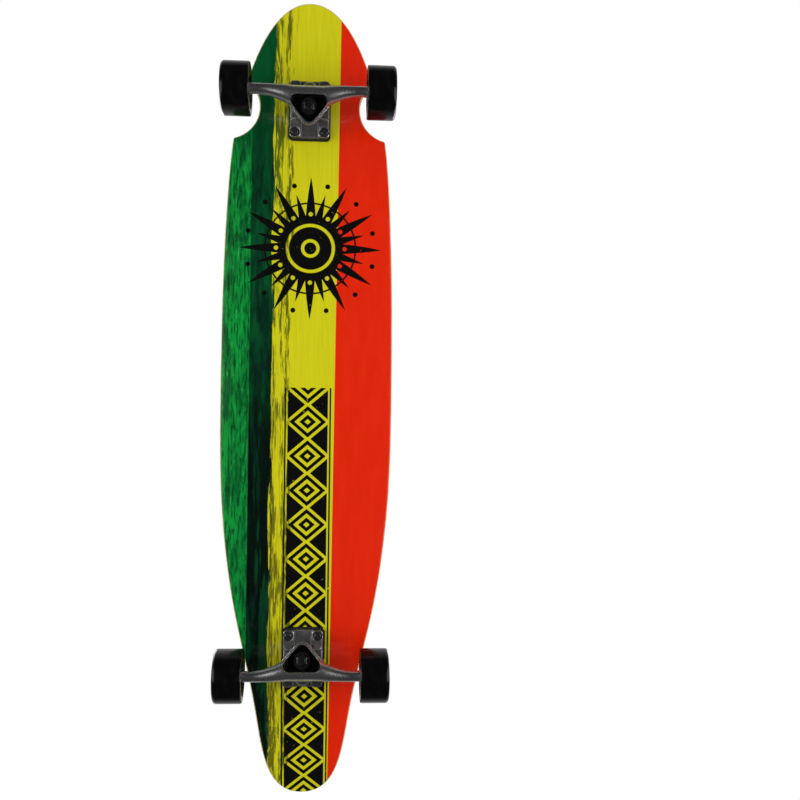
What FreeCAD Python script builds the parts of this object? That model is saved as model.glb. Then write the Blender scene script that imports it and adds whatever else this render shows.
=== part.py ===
import FreeCAD, Part
import math
import os
from types import SimpleNamespace

import Sketcher
from FreeCAD import Placement, Rotation, Vector

# The board stands on its wheels: +X to the nose, +Y to the left, +Z up, ground at zero.
# Lengths are in millimetres and angles in degrees.
SIZES = {
    # deck
    "deck_length": 1118,
    "deck_half_width": 120,
    "deck_thickness": 11.5,
    "deck_edge_round": 3,
    "flat_half_width": 45,
    "concave_radius": 520,
    "kick_run": 158,
    "kick_radius": 300,
    "kick_angle": 13,
    "pressing_margin": 14,
    "cutout_station": 146.7,
    "cutout_spread": 114.2,
    "cutout_radius": 44,
    "cutout_corner_round": 4,
    # grip tape
    "grip_thickness": 0.9,
    "grip_inset": 2.8,
    "glue_line": 0.25,
    # where the trucks sit
    "nose_setback": 158,
    "tail_setback": 208,
    "bolt_pitch_long": 53.98,
    "bolt_pitch_wide": 41.28,
    "axle_offset": 13,
    "riser_thickness": 6,
    "truck_height": 54,
    # mounting bolts and nuts
    "bolt_radius": 2.4,
    "bolt_head_radius": 4.9,
    "bolt_length": 31,
    "bolt_socket_radius": 1.85,
    "bolt_socket_depth": 2,
    "bolt_hole_clearance": 0.35,
    "countersink_clearance": 0.08,
    "mounting_nut_radius": 5.5,
    "mounting_nut_height": 5.2,
    "thread_clearance": 0.04,
    "nut_corner_drop": 0.9,
    # base plate and riser
    "plate_inner_margin": 7.5,
    "plate_outer_margin": 17,
    "plate_half_width": 27.5,
    "plate_corner_radius": 5,
    "plate_thickness": 3.5,
    "riser_margin": 1.6,
    "lug_inner_half_gap": 12,
    "lug_height": 5,
    "lug_inner_length": 27,
    "lug_outer_length": 26,
    "spot_face_radius": 6.4,
    "spot_face_depth": 1.2,
    "ramp_toe_inset": 1,
    "ramp_heel_step": 1.5,
    "ramp_half_width": 12.2,
    "seat_drop": 13,
    "seat_setback": 8.7,
    "seat_radius": 13.2,
    "boss_length": 16,
    "head_floor": 5.4,
    "head_clearance": 0.2,
    # kingpin and what is threaded on it
    "kingpin_tilt": 15,
    "kingpin_radius": 4.76,
    "kingpin_length": 45.5,
    "kingpin_head_radius": 8.2,
    "kingpin_head_height": 5.5,
    "kingpin_tip_chamfer": 1,
    "kingpin_clearance": 0.25,
    "kingpin_nut_radius": 8.2,
    "kingpin_nut_height": 8.2,
    "washer_thickness": 1.5,
    "washer_lip": 1.8,
    "washer_rim": 1.2,
    "boardside_washer_radius": 13,
    "roadside_washer_radius": 11,
    "boardside_bushing_height": 15.1,
    "roadside_bushing_height": 11.8,
    "bushing_end_radius": 11.3,
    "bushing_bulge": 0.8,
    "bushing_cone_radius": 8.6,
    "bushing_seat_clearance": 0.12,
    "bushing_seat_wall": 0.7,
    # hanger
    "ring_thickness": 7,
    "ring_bore_radius": 8.6,
    "boardside_seat_depth": 1.2,
    "roadside_seat_depth": 1,
    "yoke_depth": 19,
    "yoke_wall": 4.2,
    "cavity_base_reach": 6.5,
    "cavity_base_spread": 16.5,
    "cavity_base_radius": 8,
    "cavity_tip_reach": 10.3,
    "cavity_tip_radius": 9.5,
    "cavity_run_out": 18,
    "hanger_half_width": 83.7,
    "arm_end_radius": 8.2,
    "arm_mid_station": 48,
    "arm_mid_radius": 8.8,
    "arm_mid_rise": 0.4,
    "arm_flare_station": 31,
    "arm_flare_radius": 12,
    "arm_flare_rise": 2,
    "arm_root_station": 20,
    "arm_root_radius": 14.4,
    "arm_root_rise": 4.5,
    "yoke_edge_round": 2.5,
    "neck_corner_radius": 3,
    "neck_foot_height": 4,
    "neck_foot_inner": 0.5,
    "neck_foot_outer": 8,
    "neck_foot_half_width": 12,
    "neck_waist_height": 20,
    "neck_waist_inner": 2.4,
    "neck_waist_outer": 12.4,
    "neck_waist_half_width": 8,
    "neck_shoulder_height": 32,
    "neck_shoulder_inner": 5,
    "neck_shoulder_outer": 14,
    "neck_shoulder_half_width": 6.2,
    "neck_crown_height": 39,
    "neck_crown_inner": 6.6,
    "neck_crown_outer": 12.8,
    "neck_crown_half_width": 4.6,
    # pivot
    "pivot_reach": 17,
    "pivot_drop": 11,
    "pivot_nose_radius": 5.8,
    "pivot_nose_length": 9.2,
    "pivot_clearance": 0.08,
    "pivot_cup_wall": 1.92,
    "pivot_cup_depth": 4.5,
    "pivot_boss_wall": 2.8,
    "pivot_boss_depth": 6.2,
    "pivot_mouth_depth": 11.4,
    "cast_fit": 0.05,
    # axle, bearings and what is threaded on the axle
    "axle_radius": 3.97,
    "axle_half_length": 116.3,
    "axle_tip_chamfer": 0.8,
    "axle_nut_radius": 7.3,
    "axle_nut_height": 6.5,
    "speed_ring_radius": 5.9,
    "speed_ring_thickness": 0.8,
    "spacer_radius": 5.2,
    "spacer_length": 10,
    "bearing_bore_radius": 4,
    "bearing_radius": 11,
    "bearing_width": 7,
    "inner_race_radius": 6.05,
    "outer_race_radius": 9.45,
    "ball_radius": 1.98,
    "ball_clearance": 0.05,
    "shield_thickness": 0.4,
    "shield_recess": 0.25,
    "shield_lip_gap": 0.25,
    "bearing_fit": 0.03,
    "cage_wall": 1.5,
    "cage_near": 0.6,
    "cage_far": 2.6,
    # wheels
    "wheel_radius": 35,
    "wheel_half_width": 19,
    "wheel_outer_lip": 5,
    "wheel_inner_lip": 2,
    "wheel_face_radius": 26.5,
    "core_radius": 17,
    "core_half_width": 12.6,
    "core_shoulder_radius": 9.3,
    "core_web_radius": 14.4,
    "core_web_depth": 3,
}

# Control points of the half outline, as shares of the length from the nose tip and of the half width.
OUTLINE_STATION_SHARES = (0, 0, 0.1111, 0.224, 0.3666, 0.4979, 0.6282, 0.7698, 0.8811, 1, 1)
OUTLINE_WIDTH_SHARES = (0, 0.3751, 0.8404, 0.9513, 1.0014, 1.0057, 1.0005, 0.8282, 0.5097, 0.4336, 0)
SECTION_SHARES = (0, 0.5, 1)
BALLS_IN_A_BEARING = 7
HEXAGON_SIDES = 6
COUNTERSINK_ANGLE = 90
UPRIGHT_RATIO = 100
CUTOUT_SEARCH_SHARE = 1.2
WALL_NORMAL_SHARE = 0.2
FACE_NORMAL_SHARE = 0.5
FULL_TURN = 360
HALF_TURN = 180

doc = FreeCAD.newDocument("longboard")
sheet = doc.addObject("Spreadsheet::Sheet", "sizes")


class Size:
    """A number and the sheet formula that gives it, so that a sum of sizes stays bound to the sheet."""

    def __init__(self, number, formula):
        self.number = number
        self.formula = formula

    def __add__(self, other):
        other = size_of(other)
        return Size(self.number + other.number, f"({self.formula} + {other.formula})")

    def __sub__(self, other):
        other = size_of(other)
        return Size(self.number - other.number, f"({self.formula} - {other.formula})")

    def __mul__(self, other):
        other = size_of(other)
        return Size(self.number * other.number, f"({self.formula} * {other.formula})")

    def __truediv__(self, other):
        other = size_of(other)
        return Size(self.number / other.number, f"({self.formula} / {other.formula})")

    def __neg__(self):
        return Size(-self.number, f"(0 - {self.formula})")


def size_of(value):
    return value if isinstance(value, Size) else Size(float(value), str(value))


def root(size):
    return Size(math.sqrt(size.number), f"sqrt({size.formula})")


def sine(angle):
    return Size(math.sin(math.radians(angle.number)), f"sin({angle.formula})")


def cosine(angle):
    return Size(math.cos(math.radians(angle.number)), f"cos({angle.formula})")


def slope_angle(rise, run):
    return Size(math.degrees(math.atan2(rise.number, run.number)), f"atan2({rise.formula}; {run.formula})")


def write_sheet():
    """Put every driving size in a cell of its own and hand them back by name."""
    cells = dict(SIZES)
    for index, shares in enumerate(zip(OUTLINE_STATION_SHARES, OUTLINE_WIDTH_SHARES)):
        cells[f"outline_station_share_{index}"], cells[f"outline_width_share_{index}"] = shares
    named = {}
    for row, (alias, value) in enumerate(cells.items(), start=1):
        sheet.set(f"A{row}", alias)
        sheet.set(f"B{row}", str(value))
        sheet.setAlias(f"B{row}", alias)
        named[alias] = Size(float(value), "sizes." + alias)
    doc.recompute()
    return SimpleNamespace(**named)


d = write_sheet()
ZERO = size_of(0)

# Both trucks keep their distance from their own end of the deck.
bolts_x = {"front": d.deck_length / 2 - d.nose_setback, "rear": d.tail_setback - d.deck_length / 2}
axle_x = {"front": bolts_x["front"] + d.axle_offset, "rear": bolts_x["rear"] - d.axle_offset}

# Heights above the axle, which stands one wheel radius above the ground.
plate_top = d.truck_height
deck_bottom = d.truck_height + d.riser_thickness
deck_top = deck_bottom + d.deck_thickness

# Bolt rows and plate ends, measured outward from the axle, so those toward the middle are negative.
inner_bolt = -(d.axle_offset + d.bolt_pitch_long / 2)
outer_bolt = inner_bolt + d.bolt_pitch_long
left_bolt = d.bolt_pitch_wide / 2
plate_inner = inner_bolt - d.plate_inner_margin
plate_outer = outer_bolt + d.plate_outer_margin

# The kingpin leaves its seat in the base plate and leans toward the middle of the board.
seat_x = -d.seat_setback
seat_z = plate_top - d.seat_drop
ring_drop = (
    d.washer_thickness + d.boardside_bushing_height + d.bushing_seat_clearance
    - d.boardside_seat_depth + d.ring_thickness / 2
)
ring_x = seat_x - ring_drop * sine(d.kingpin_tilt)
ring_z = seat_z - ring_drop * cosine(d.kingpin_tilt)

# The hanger turns about the line from the ring's centre to the pivot ball.
pivot_x = d.pivot_reach
pivot_z = plate_top - d.pivot_drop
pivot_angle = slope_angle(pivot_z - ring_z, pivot_x - ring_x)
pivot_far = root((pivot_x - ring_x) * (pivot_x - ring_x) + (pivot_z - ring_z) * (pivot_z - ring_z))
pivot_cup_bore = d.pivot_nose_radius + d.pivot_clearance
pivot_cup_radius = pivot_cup_bore + d.pivot_cup_wall

# Stack of each wheel along the axle, measured from the wheel's own middle.
bearing_near = d.spacer_length / 2
bearing_far = bearing_near + d.bearing_width
bearing_middle = bearing_near + d.bearing_width / 2
wheel_station = d.hanger_half_width + d.speed_ring_thickness + bearing_far
ball_pitch = (d.inner_race_radius + d.outer_race_radius) / 2
groove_radius = d.ball_radius + d.ball_clearance

# How far a quarter arc's middle reaches along each of its radii, and a hexagon's flats against its corners.
diagonal_share = root(size_of(1) / 2)
flats_share = cosine(size_of(HALF_TURN / HEXAGON_SIDES))

nodes = []


class Bend:
    """An arc of an outline, from the last corner through a middle point to its end."""

    def __init__(self, middle, end):
        self.middle = middle
        self.end = end


def flat(point):
    return Vector(point[0].number, point[1].number, 0)


def new_body(node):
    body = doc.addObject("PartDesign::Body", node)
    body.Label = node
    nodes.append(body)
    return body


def datum(body, role):
    return next(feature for feature in body.Origin.OriginFeatures if feature.Role == role)


def sketch_on(body, role, shift=(ZERO, ZERO, ZERO), axis=None, angle=ZERO):
    """Start a sketch on one of the body's own planes, moved along it and its normal, and turned."""
    sketch = body.newObject("Sketcher::SketchObject", body.Name + "_sketch")
    sketch.AttachmentSupport = [(datum(body, role), "")]
    sketch.MapMode = "FlatFace"
    turn = Rotation(axis, angle.number) if axis else Rotation()
    sketch.AttachmentOffset = Placement(Vector(*(length.number for length in shift)), turn)
    for letter, length in zip("xyz", shift):
        sketch.setExpression("AttachmentOffset.Base." + letter, length.formula)
    if axis:
        sketch.setExpression("AttachmentOffset.Rotation.Angle", angle.formula)
    return sketch


def hold(sketch, kind, where, size):
    index = sketch.addConstraint(Sketcher.Constraint(kind, *where, size.number))
    name = f"{kind}_{index}"
    sketch.renameConstraint(index, name)
    sketch.setExpression("Constraints." + name, size.formula)


def pin(sketch, piece, place, point):
    hold(sketch, "DistanceX", (piece, place), point[0])
    hold(sketch, "DistanceY", (piece, place), point[1])


def end_at(sketch, piece, point):
    gaps = [sketch.getPoint(piece, place).distanceToPoint(flat(point)) for place in (1, 2)]
    return 1 if gaps[0] < gaps[1] else 2


def draw(sketch, start, *steps):
    """Close an outline of lines and bends, with every corner held to its sizes."""
    last = steps[-1].end if isinstance(steps[-1], Bend) else steps[-1]
    if flat(last) != flat(start):
        steps += (start,)
    ends = [step.end if isinstance(step, Bend) else step for step in steps]
    starts = [start] + ends[:-1]
    pieces = []
    for here, step, there in zip(starts, steps, ends):
        if isinstance(step, Bend):
            piece = sketch.addGeometry(Part.Arc(flat(here), flat(step.middle), flat(there)))
            middle = sketch.addGeometry(Part.Point(flat(step.middle)), True)
            pin(sketch, middle, 1, step.middle)
            sketch.addConstraint(Sketcher.Constraint("PointOnObject", middle, 1, piece))
        else:
            piece = sketch.addGeometry(Part.LineSegment(flat(here), flat(there)))
        pieces.append(piece)
    for index, piece in enumerate(pieces):
        here = starts[index]
        last = pieces[index - 1]
        pin(sketch, piece, end_at(sketch, piece, here), here)
        sketch.addConstraint(
            Sketcher.Constraint(
                "Coincident", piece, end_at(sketch, piece, here), last, end_at(sketch, last, here)
            )
        )


def draw_circle(sketch, x, y, radius):
    piece = sketch.addGeometry(Part.Circle(flat((x, y)), Vector(0, 0, 1), radius.number))
    pin(sketch, piece, 3, (x, y))
    hold(sketch, "Radius", (piece,), radius)


def draw_hull(sketch, *rounds):
    """Draw the outline around circles (x, y, radius), taken anticlockwise, with tangents between them."""
    normals = []
    for (x, y, radius), (next_x, next_y, next_radius) in zip(rounds, rounds[1:] + rounds[:1]):
        along = flat((next_x, next_y)) - flat((x, y))
        lean = math.asin((radius.number - next_radius.number) / along.Length)
        normals.append(math.atan2(along.y, along.x) - math.pi / 2 + lean)
    arcs = []
    for index, (x, y, radius) in enumerate(rounds):
        first, last = normals[index - 1], normals[index]
        while last < first:
            last += 2 * math.pi
        circle = Part.Circle(flat((x, y)), Vector(0, 0, 1), radius.number)
        arcs.append(sketch.addGeometry(Part.ArcOfCircle(circle, first, last)))
        pin(sketch, arcs[-1], 3, (x, y))
        hold(sketch, "Radius", (arcs[-1],), radius)
    for arc, next_arc in zip(arcs, arcs[1:] + arcs[:1]):
        line = sketch.addGeometry(Part.LineSegment(sketch.getPoint(arc, 2), sketch.getPoint(next_arc, 1)))
        sketch.addConstraint(Sketcher.Constraint("Tangent", arc, 2, line, 1))
        sketch.addConstraint(Sketcher.Constraint("Tangent", line, 2, next_arc, 1))


def draw_box(sketch, left, bottom, right, top):
    draw(sketch, (left, bottom), (right, bottom), (right, top), (left, top))


def draw_round_box(sketch, left, bottom, right, top, radius):
    near, far = left + radius, right - radius
    low, high = bottom + radius, top - radius
    draw_hull(sketch, (near, low, radius), (far, low, radius), (far, high, radius), (near, high, radius))


def draw_hexagon(sketch, x, y, radius):
    """Draw a hexagon by its corner radius, with two corners on the line along the sketch's first axis."""
    corners = []
    for corner in range(HEXAGON_SIDES):
        angle = size_of(corner * FULL_TURN / HEXAGON_SIDES)
        corners.append((x + radius * cosine(angle), y + radius * sine(angle)))
    draw(sketch, *corners)


def bind(feature, **sizes):
    for name, size in sizes.items():
        setattr(feature, name, size.number)
        feature.setExpression(name, size.formula)


def add_feature(body, kind, sketch):
    feature = body.newObject("PartDesign::" + kind, f"{body.Name}_{kind}")
    feature.Profile = sketch
    sketch.Visibility = False
    return feature


def pad(body, sketch, length, symmetric=False):
    feature = add_feature(body, "Pad", sketch)
    bind(feature, Length=length)
    feature.Midplane = symmetric
    doc.recompute()
    return feature


def pocket(body, sketch, depth=None, upward=False):
    """Cut a sketch down into the body, or up along the sketch's normal; without a depth, right through."""
    feature = add_feature(body, "Pocket", sketch)
    feature.Reversed = upward
    if depth:
        bind(feature, Length=depth)
    else:
        feature.Type = "ThroughAll"
    doc.recompute()
    return feature


def revolve(body, sketch, axis="V_Axis", cut=False):
    feature = add_feature(body, "Groove" if cut else "Revolution", sketch)
    feature.ReferenceAxis = (sketch, [axis])
    feature.Angle = FULL_TURN
    doc.recompute()
    return feature


def turned(node, *outlines):
    """Turn closed outlines, drawn as (radius, station), about the body's Y axis."""
    body = new_body(node)
    sketch = sketch_on(body, "XY_Plane")
    for outline in outlines:
        draw(sketch, *outline)
    revolve(body, sketch)
    return body


def round_edges(body, feature, radius, chosen):
    names = [f"Edge{number}" for number, edge in enumerate(feature.Shape.Edges, start=1) if chosen(edge)]
    fillet = body.newObject("PartDesign::Fillet", body.Name + "_Fillet")
    fillet.Base = (feature, names)
    bind(fillet, Radius=radius)
    doc.recompute()
    return fillet


def place(body, x, y, z, turn=ZERO, tilt=ZERO):
    """Tilt a body about its Y axis, turn it about the upright, and set it down at a point."""
    body.Placement = Placement(Vector(x.number, y.number, z.number), Rotation(turn.number, tilt.number, 0))
    for letter, length in zip("xyz", (x, y, z)):
        body.setExpression("Placement.Base." + letter, length.formula)
    body.setExpression("Placement.Rotation.Yaw", turn.formula)
    body.setExpression("Placement.Rotation.Pitch", tilt.formula)


# The deck and its tape


def draw_half_outline(sketch, side, inset):
    """Draw one side of the deck's outline as a spline, moved in from the edge by the inset."""
    reach = d.deck_length / 2 - inset
    spread = d.deck_half_width - inset
    poles = []
    for index in range(len(OUTLINE_STATION_SHARES)):
        station = getattr(d, f"outline_station_share_{index}")
        width = getattr(d, f"outline_width_share_{index}")
        poles.append((reach - reach * station * 2, spread * width * side))
    spans = len(poles) - 3
    curve = Part.BSplineCurve()
    multiplicities = [4] + [1] * (spans - 1) + [4]
    corners = [flat(pole) for pole in poles]
    curve.buildFromPolesMultsKnots(corners, multiplicities, list(range(spans + 1)), False, 3)
    spline = sketch.addGeometry(curve)
    sketch.exposeInternalGeometry(spline)
    for index, pole in enumerate(poles, start=1):
        pin(sketch, spline + index, 3, pole)


def pressed_sheet(node, under, over):
    """Sweep the concave section, between two levels above the deck's underside, along its bent spine."""
    body = new_body(node)
    half = d.deck_half_width + d.pressing_margin
    start = d.deck_length / 2 + d.pressing_margin
    bend_x = d.kick_run - d.deck_length / 2
    rest = d.wheel_radius + deck_bottom

    def corner(level, share):
        """A point of the section, level with the flat middle (share 0) or on the way up to the edge."""
        run = (half - d.flat_half_width) * share
        radius = d.concave_radius - level
        return d.flat_half_width + run, level + radius - root(radius * radius - run * run)

    def mirrored(point):
        return -point[0], point[1]

    section = sketch_on(body, "YZ_Plane", (ZERO, rest, start))
    low = [corner(under, share) for share in SECTION_SHARES]
    high = [corner(over, share) for share in SECTION_SHARES]
    draw(
        section,
        mirrored(low[0]),
        low[0],
        Bend(low[1], low[2]),
        high[2],
        Bend(high[1], high[0]),
        mirrored(high[0]),
        Bend(mirrored(high[1]), mirrored(high[2])),
        mirrored(low[2]),
        Bend(mirrored(low[1]), mirrored(low[0])),
    )
    spine = sketch_on(body, "XZ_Plane")
    tilt = d.kick_angle
    arc_x = bend_x - d.kick_radius * sine(tilt)
    arc_z = rest + d.kick_radius - d.kick_radius * cosine(tilt)
    half_x = bend_x - d.kick_radius * sine(tilt / 2)
    half_z = rest + d.kick_radius - d.kick_radius * cosine(tilt / 2)
    straight = d.kick_run + d.pressing_margin - d.kick_radius * sine(tilt)
    front = (start, rest)
    bend = (bend_x, rest)
    lift = (arc_x, arc_z)
    tip = (arc_x - straight, arc_z + straight * sine(tilt) / cosine(tilt))
    line = spine.addGeometry(Part.LineSegment(flat(front), flat(bend)))
    arc = spine.addGeometry(Part.Arc(flat(bend), flat((half_x, half_z)), flat(lift)))
    rise = spine.addGeometry(Part.LineSegment(flat(lift), flat(tip)))
    pin(spine, line, 1, front)
    pin(spine, line, 2, bend)
    pin(spine, rise, 1, lift)
    pin(spine, rise, 2, tip)
    spine.addConstraint(Sketcher.Constraint("Coincident", arc, end_at(spine, arc, bend), line, 2))
    spine.addConstraint(Sketcher.Constraint("Coincident", arc, end_at(spine, arc, lift), rise, 1))
    hold(spine, "Radius", (arc,), d.kick_radius)
    sweep = add_feature(body, "AdditivePipe", section)
    sweep.Spine = spine
    doc.recompute()
    return body


def trim(body, inset):
    """Cut a pressed sheet to the outline and bite out the two wheel cut-outs."""
    reach = d.deck_length / 2 + d.pressing_margin * 3
    spread = d.deck_half_width + d.pressing_margin * 3
    outside = sketch_on(body, "XY_Plane")
    draw_box(outside, -reach, -spread, reach, spread)
    for side in (1, -1):
        draw_half_outline(outside, side, inset)
    pocket(body, outside, upward=True)
    bites = sketch_on(body, "XY_Plane")
    for side in (1, -1):
        x = d.deck_length / 2 - d.cutout_station
        draw_circle(bites, x, d.cutout_spread * side, d.cutout_radius + inset)
    return pocket(body, bites, upward=True)


def bolt_centres():
    """Centres of all eight mounting bolts, seen from above."""
    for middle in bolts_x.values():
        for along in (1, -1):
            for across in (1, -1):
                yield middle + d.bolt_pitch_long / 2 * along, left_bolt * across


def upright(edge):
    span = edge.lastVertex().Point - edge.firstVertex().Point
    return abs(span.z) > math.hypot(span.x, span.y) * UPRIGHT_RATIO


def make_deck():
    body = pressed_sheet("deck", ZERO, d.deck_thickness)
    blank = trim(body, ZERO)
    bite_x = (d.deck_length / 2 - d.cutout_station).number

    def cutout_corner(edge):
        middle = edge.CenterOfMass
        return upright(edge) and abs(middle.x - bite_x) < d.cutout_radius.number * CUTOUT_SEARCH_SHARE

    cornered = round_edges(body, blank, d.cutout_corner_round, cutout_corner)

    def rim(edge):
        walls = cornered.Shape.ancestorsOfType(edge, Part.Face)
        levels = []
        for wall in walls:
            u, v = wall.Surface.parameter(edge.CenterOfMass)
            levels.append(abs(wall.normalAt(u, v).z))
        return not upright(edge) and min(levels) < WALL_NORMAL_SHARE and max(levels) > FACE_NORMAL_SHARE

    round_edges(body, cornered, d.deck_edge_round, rim)
    top = sketch_on(body, "XY_Plane", (ZERO, ZERO, d.wheel_radius + deck_top))
    for x, y in bolt_centres():
        draw_circle(top, x, y, d.bolt_radius)
    holes = add_feature(body, "Hole", top)
    holes.DepthType = "ThroughAll"
    holes.HoleCutType = "Countersink"
    bind(
        holes,
        Diameter=(d.bolt_radius + d.bolt_hole_clearance) * 2,
        HoleCutDiameter=(d.bolt_head_radius + d.countersink_clearance) * 2,
    )
    holes.HoleCutCountersinkAngle = COUNTERSINK_ANGLE
    doc.recompute()


def make_grip_tape():
    back = d.deck_thickness + d.glue_line
    body = pressed_sheet("grip_tape", back, back + d.grip_thickness)
    trim(body, d.grip_inset)
    holes = sketch_on(body, "XY_Plane")
    for x, y in bolt_centres():
        draw_circle(holes, x, y, d.bolt_head_radius + d.bolt_hole_clearance)
    pocket(body, holes, upward=True)


# The trucks, each modelled about its own axle with +X outward, then set under the nose or the tail


def truck_place(body, end, x=ZERO, y=ZERO, z=ZERO, tilt=ZERO):
    """Set a body under one end of the deck, at a point given from the axle's middle."""
    height = d.wheel_radius + z
    if end == "front":
        place(body, axle_x[end] + x, y, height, tilt=tilt)
    else:
        place(body, axle_x[end] - x, -y, height, size_of(HALF_TURN), tilt)


def kingpin_place(body, end):
    """Stand a body on the kingpin's seat with +Z along the kingpin, up into the base plate."""
    truck_place(body, end, x=seat_x, z=seat_z, tilt=d.kingpin_tilt)


def four_bolts(body, *features):
    """Repeat what was made at the inner right bolt at all four bolts of the truck."""
    pattern = body.newObject("PartDesign::LinearPattern", body.Name + "_pattern")
    pattern.Originals = list(features)
    pattern.Direction = (datum(body, "X_Axis"), [""])
    pattern.Direction2 = (datum(body, "Y_Axis"), [""])
    pattern.Occurrences = 2
    pattern.Occurrences2 = 2
    bind(pattern, Length=d.bolt_pitch_long, Length2=d.bolt_pitch_wide)
    body.Tip = pattern
    doc.recompute()


def draw_plate(sketch, margin):
    """Draw the rounded footprint of the base plate, or of the riser around it."""
    spread = d.plate_half_width + margin
    corner = d.plate_corner_radius + margin
    draw_round_box(sketch, plate_inner - margin, -spread, plate_outer + margin, spread, corner)


def draw_bolt_holes(sketch, radius):
    for x in (inner_bolt, outer_bolt):
        for y in (-left_bolt, left_bolt):
            draw_circle(sketch, x, y, radius)


def make_riser_pad(end):
    body = new_body(end + "_riser_pad")
    footprint = sketch_on(body, "XY_Plane", (ZERO, ZERO, plate_top))
    draw_plate(footprint, d.riser_margin)
    draw_bolt_holes(footprint, d.bolt_radius + d.bolt_hole_clearance)
    pad(body, footprint, d.riser_thickness)
    truck_place(body, end)


def kingpin_sketch(body, along):
    """A sketch square to the kingpin, centred on it, at a distance up from its seat."""
    x = seat_x + along * sine(d.kingpin_tilt)
    z = seat_z + along * cosine(d.kingpin_tilt)
    return sketch_on(body, "XY_Plane", (x, ZERO, z), Vector(0, 1, 0), d.kingpin_tilt)


def pivot_sketch(body):
    """A sketch in the board's middle plane, from the ring's centre, first axis on the steering axis."""
    return sketch_on(body, "XZ_Plane", (ring_x, ring_z, ZERO), Vector(0, 0, 1), pivot_angle)


def half_ball(sketch, near, far, radius):
    """Draw a round bar from near to far along the first axis, with a half ball on its far end."""
    draw(
        sketch,
        (near, ZERO),
        (near, radius),
        (far, radius),
        Bend((far + radius * diagonal_share, radius * diagonal_share), (far + radius, ZERO)),
    )


def make_baseplate(end):
    body = new_body(end + "_baseplate")
    lug_bottom = plate_top - d.plate_thickness - d.lug_height
    footprint = sketch_on(body, "XY_Plane", (ZERO, ZERO, plate_top - d.plate_thickness))
    draw_plate(footprint, ZERO)
    pad(body, footprint, d.plate_thickness)
    lugs = sketch_on(body, "XY_Plane", (ZERO, ZERO, lug_bottom))
    near, far = d.lug_inner_half_gap, d.plate_half_width
    for first, last in (
        (plate_inner, plate_inner + d.lug_inner_length),
        (plate_outer - d.lug_outer_length, plate_outer),
    ):
        for low, high in ((near, far), (-far, -near)):
            draw_round_box(lugs, first, low, last, high, d.plate_corner_radius)
    pad(body, lugs, d.lug_height + d.plate_thickness / 2)
    boss = kingpin_sketch(body, ZERO)
    draw_circle(boss, ZERO, ZERO, d.seat_radius)
    pad(body, boss, d.boss_length)
    ramp = sketch_on(body, "XZ_Plane")
    heel_x = seat_x - d.seat_radius * cosine(d.kingpin_tilt)
    heel_z = seat_z + d.seat_radius * sine(d.kingpin_tilt) + d.ramp_heel_step
    ramp_top = plate_top - d.plate_thickness / 2
    draw(
        ramp,
        (plate_inner + d.ramp_toe_inset, ramp_top),
        (heel_x, heel_z),
        (seat_x, heel_z),
        (seat_x, ramp_top),
    )
    pad(body, ramp, d.ramp_half_width * 2, symmetric=True)
    housing = pivot_sketch(body)
    housing_radius = pivot_cup_radius + d.cast_fit + d.pivot_boss_wall
    half_ball(housing, pivot_far - d.pivot_boss_depth, pivot_far, housing_radius)
    revolve(body, housing, "H_Axis")
    top = sketch_on(body, "XY_Plane", (ZERO, ZERO, plate_top))
    reach = plate_outer - plate_inner
    draw_box(top, -reach, -reach, reach, reach)
    pocket(body, top, d.boss_length, upward=True)
    mouth = pivot_sketch(body)
    half_ball(mouth, pivot_far - d.pivot_mouth_depth, pivot_far, pivot_cup_radius + d.cast_fit)
    revolve(body, mouth, "H_Axis", cut=True)
    bore = kingpin_sketch(body, ZERO)
    draw_circle(bore, ZERO, ZERO, d.kingpin_radius + d.cast_fit)
    pocket(body, bore, d.boss_length, upward=True)
    head = kingpin_sketch(body, d.head_floor)
    draw_hexagon(head, ZERO, ZERO, d.kingpin_head_radius + d.head_clearance)
    pocket(body, head, d.boss_length, upward=True)
    holes = sketch_on(body, "XY_Plane", (ZERO, ZERO, lug_bottom))
    draw_bolt_holes(holes, d.bolt_radius + d.bolt_hole_clearance)
    pocket(body, holes, upward=True)
    spots = sketch_on(body, "XY_Plane", (ZERO, ZERO, lug_bottom))
    draw_bolt_holes(spots, d.spot_face_radius)
    pocket(body, spots, d.spot_face_depth, upward=True)
    truck_place(body, end)


def make_pivot_cup(end):
    body = new_body(end + "_pivot_cup")
    cup = pivot_sketch(body)
    near = pivot_far - d.pivot_cup_depth
    outer = pivot_cup_radius
    inner = pivot_cup_bore
    draw(
        cup,
        (near, inner),
        (near, outer),
        (pivot_far, outer),
        Bend((pivot_far + outer * diagonal_share, outer * diagonal_share), (pivot_far + outer, ZERO)),
        (pivot_far + inner, ZERO),
        Bend((pivot_far + inner * diagonal_share, inner * diagonal_share), (pivot_far, inner)),
    )
    revolve(body, cup, "H_Axis")
    truck_place(body, end)


def make_kingpin(end):
    body = new_body(end + "_kingpin")
    shank = sketch_on(body, "XZ_Plane")
    tip = -d.kingpin_length
    draw(
        shank,
        (ZERO, tip),
        (d.kingpin_radius - d.kingpin_tip_chamfer, tip),
        (d.kingpin_radius, tip + d.kingpin_tip_chamfer),
        (d.kingpin_radius, d.head_floor),
        (ZERO, d.head_floor),
    )
    revolve(body, shank)
    head = sketch_on(body, "XY_Plane", (ZERO, ZERO, d.head_floor))
    draw_hexagon(head, ZERO, ZERO, d.kingpin_head_radius)
    pad(body, head, d.kingpin_head_height)
    kingpin_place(body, end)


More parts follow.
